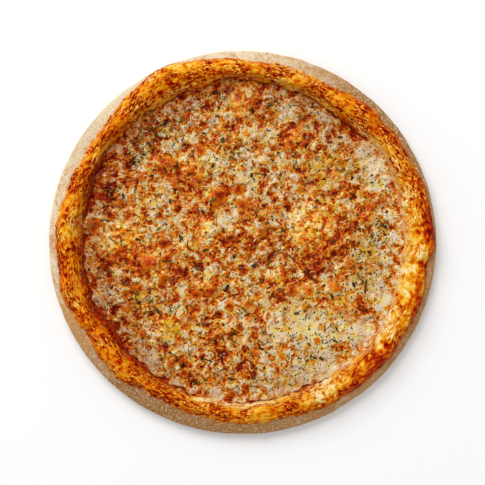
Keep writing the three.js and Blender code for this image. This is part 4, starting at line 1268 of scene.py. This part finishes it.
def grains(x, y, length, width, turn):
    """Closed grains of six points and eight faces: two along, two across, one above and one below the
    middle."""
    along = np.array([1, 0, -1, 0, 0, 0]) * length[:, None] / 2
    beside = np.array([0, 1, 0, -1, 0, 0]) * width[:, None] / 2
    rise_by = np.array([0, 0, 0, 0, 1, -1]) * 0.3 * width[:, None]
    px = x[:, None] + along * np.cos(turn)[:, None] - beside * np.sin(turn)[:, None]
    py = y[:, None] + along * np.sin(turn)[:, None] + beside * np.cos(turn)[:, None]
    points = np.stack([px, py, melted(x, y)[0][:, None] + 0.1 + rise_by], -1)
    n = np.arange(4)
    upper = np.stack([n, (n + 1) % 4, 4 + 0 * n], -1)
    lower = np.stack([(n + 1) % 4, n, 5 + 0 * n], -1)
    offsets = (np.arange(len(x)) * GRAIN_POINTS)[:, None, None]
    return points.reshape(-1, 3), (np.concatenate([upper, lower]) + offsets).reshape(-1, 3)


def oregano_weight(x, y):
    """Oregano lies everywhere, and thickest where the cheese is tinted by it."""
    return np.clip(0.25 + 0.75 * patches(HERBS, x, y), 0, 1)


number = np.arange(LARGE_FLAKES)
large_angle = number * GOLDEN_ANGLE + 0.5 * scatter(number, 3)
large_near = np.sqrt((number + 0.5) / LARGE_FLAKES) * 0.95 + 0.06 * (scatter(number, 4) - 0.5)
large_reach = np.minimum(0.93, large_near) * cheese_radius(large_angle)
large_length = 3.4 + 1.8 * scatter(number, 1)
groups = [(
    large_reach * np.cos(large_angle), large_reach * np.sin(large_angle), large_length,
    large_length * (0.34 + 0.22 * scatter(number, 2)), np.full(LARGE_FLAKES, 0.22), TURN * scatter(number, 5),
)]
main_x, main_y, main_length, main_width, main_turn = np.array(MAIN_LEAVES).T
groups.append((main_x, main_y, main_length, main_width, np.full(len(main_x), 0.2), np.radians(main_turn)))
for count, lengths, widths, thickness in (
    (SMALL_FLAKES, (1.0, 2.8), (0.25, 0.55), 0.16),
    (STEMS, (4, 9), (0.1, 0.14), 0.4),
):
    px, py = scattered(count, 0.97, oregano_weight)
    sizes = rng.uniform(*lengths, count)
    breadths = sizes * rng.uniform(*widths, count)
    groups.append((px, py, sizes, breadths, np.full(count, thickness), TURN * rng.random(count)))
flake_rows = [np.concatenate(part) for part in zip(*groups)]
flake_count = len(flake_rows[0])
flake_curl = rng.uniform(-0.5, 1.0, flake_count)
flake_points, flake_faces = flakes(*flake_rows, flake_curl)

OREGANO_COLOURS = (
    (0.0, (0.014, 0.009, 0.003)),
    (0.3, (0.05, 0.034, 0.006)),
    (0.55, (0.13, 0.095, 0.014)),
    (0.8, (0.23, 0.21, 0.08)),
    (1.0, (0.46, 0.36, 0.12)),
)
oregano, tree, skin = material_tree("dried_oregano")
body = add(tree, "TexCoord").outputs["Object"]
leaf_grain = grained(tree, body, 0.8)
tint = sums(tree, "SUBTRACT", mask(tree, "tone"), 0.25)
tint = sums(tree, "MULTIPLY_ADD", leaf_grain["Value"], 0.5, tint)
tree.links.new(ramp(tree, tint, OREGANO_COLOURS), skin["Base Color"])
skin["Roughness"].default_value = 0.62
skin["Specular IOR Level"].default_value = 0.12
bumped(tree, skin, leaf_grain["Value"], 0.6, 0.0003)
flake_tone = 0.9 * rng.beta(1.25, 2.1, flake_count)
speck_x, speck_y = scattered(SPECKS, 0.98, oregano_weight)
speck_size = rng.uniform(0.6, 1.4, SPECKS)
speck_points, speck_faces = grains(
    speck_x, speck_y, speck_size, speck_size * rng.uniform(0.5, 0.95, SPECKS), TURN * rng.random(SPECKS)
)
speck_tone = 0.5 * rng.beta(1.2, 2.0, SPECKS)
mesh_piece(
    "oregano_flakes",
    np.concatenate([flake_points, speck_points]),
    [flake_faces, speck_faces + len(flake_points)],
    {"tone": np.concatenate([np.repeat(flake_tone, FLAKE_POINTS), np.repeat(speck_tone, GRAIN_POINTS)])},
    oregano,
    "dried_oregano",
)

# ---------- floor, light and camera ----------
# A white table lit softly from above and from one side. The camera looks straight down on the middle of the
# pizza. Lengths here are in metres.
FLOOR_REACH = 6.0
floor_mesh = bpy.data.meshes.new("floor")
sides = ((-1, -1), (1, -1), (1, 1), (-1, 1))
corners = [(FLOOR_REACH * x_side, FLOOR_REACH * y_side, 0) for x_side, y_side in sides]
floor_mesh.from_pydata(corners, [], [(0, 1, 2, 3)])
floor = bpy.data.objects.new("floor", floor_mesh)
bpy.context.scene.collection.objects.link(floor)
table, tree, skin = material_tree("white_table")
skin["Base Color"].default_value = (0.95, 0.95, 0.95, 1)
skin["Roughness"].default_value = 1.0
skin["Specular IOR Level"].default_value = 0.0
skin["Emission Color"].default_value = (1, 1, 1, 1)
skin["Emission Strength"].default_value = 0.03
floor_mesh.materials.append(table)

SKY_LIGHT = 0.60
SKY_IN_GLOSS = 0.08
KEY_POWER = 60.0
KEY_DISTANCE = 3.0
KEY_SIZE = 1.9
KEY_AZIMUTH = np.radians(118)
KEY_ELEVATION = np.radians(47)
world = bpy.data.worlds.new("studio")
world.use_nodes = True
sky = world.node_tree.nodes["Background"].inputs
sky["Color"].default_value = (1, 1, 1, 1)
glossy = add(world.node_tree, "LightPath").outputs["Is Glossy Ray"]
sky_strength = sums(world.node_tree, "MULTIPLY_ADD", glossy, SKY_IN_GLOSS - SKY_LIGHT, SKY_LIGHT)
world.node_tree.links.new(sky_strength, sky["Strength"])
bpy.context.scene.world = world
lamp = bpy.data.lights.new("key_light", "AREA")
lamp.energy = KEY_POWER
lamp.size = KEY_SIZE
key = bpy.data.objects.new("key_light", lamp)
toward = np.array([
    np.cos(KEY_ELEVATION) * np.cos(KEY_AZIMUTH),
    np.cos(KEY_ELEVATION) * np.sin(KEY_AZIMUTH),
    np.sin(KEY_ELEVATION),
])
key.location = toward * KEY_DISTANCE
key.rotation_euler = (np.pi / 2 - KEY_ELEVATION, 0, KEY_AZIMUTH + np.pi / 2)
bpy.context.scene.collection.objects.link(key)

CAMERA_DISTANCE = 1.0  # above the widest part of the rim
FRAME_WIDTH = 0.3761  # what the picture spans there
SENSOR_WIDTH = 36  # in millimetres, as cameras take it
lens = bpy.data.cameras.new("camera")
lens.sensor_width = SENSOR_WIDTH
lens.lens = SENSOR_WIDTH * CAMERA_DISTANCE / FRAME_WIDTH
camera = bpy.data.objects.new("camera", lens)
camera.location = (0, 0, WIDEST_HEIGHT * MM + CAMERA_DISTANCE)
bpy.context.scene.collection.objects.link(camera)
bpy.context.scene.camera = camera
bpy.context.scene.view_settings.view_transform = "Standard"
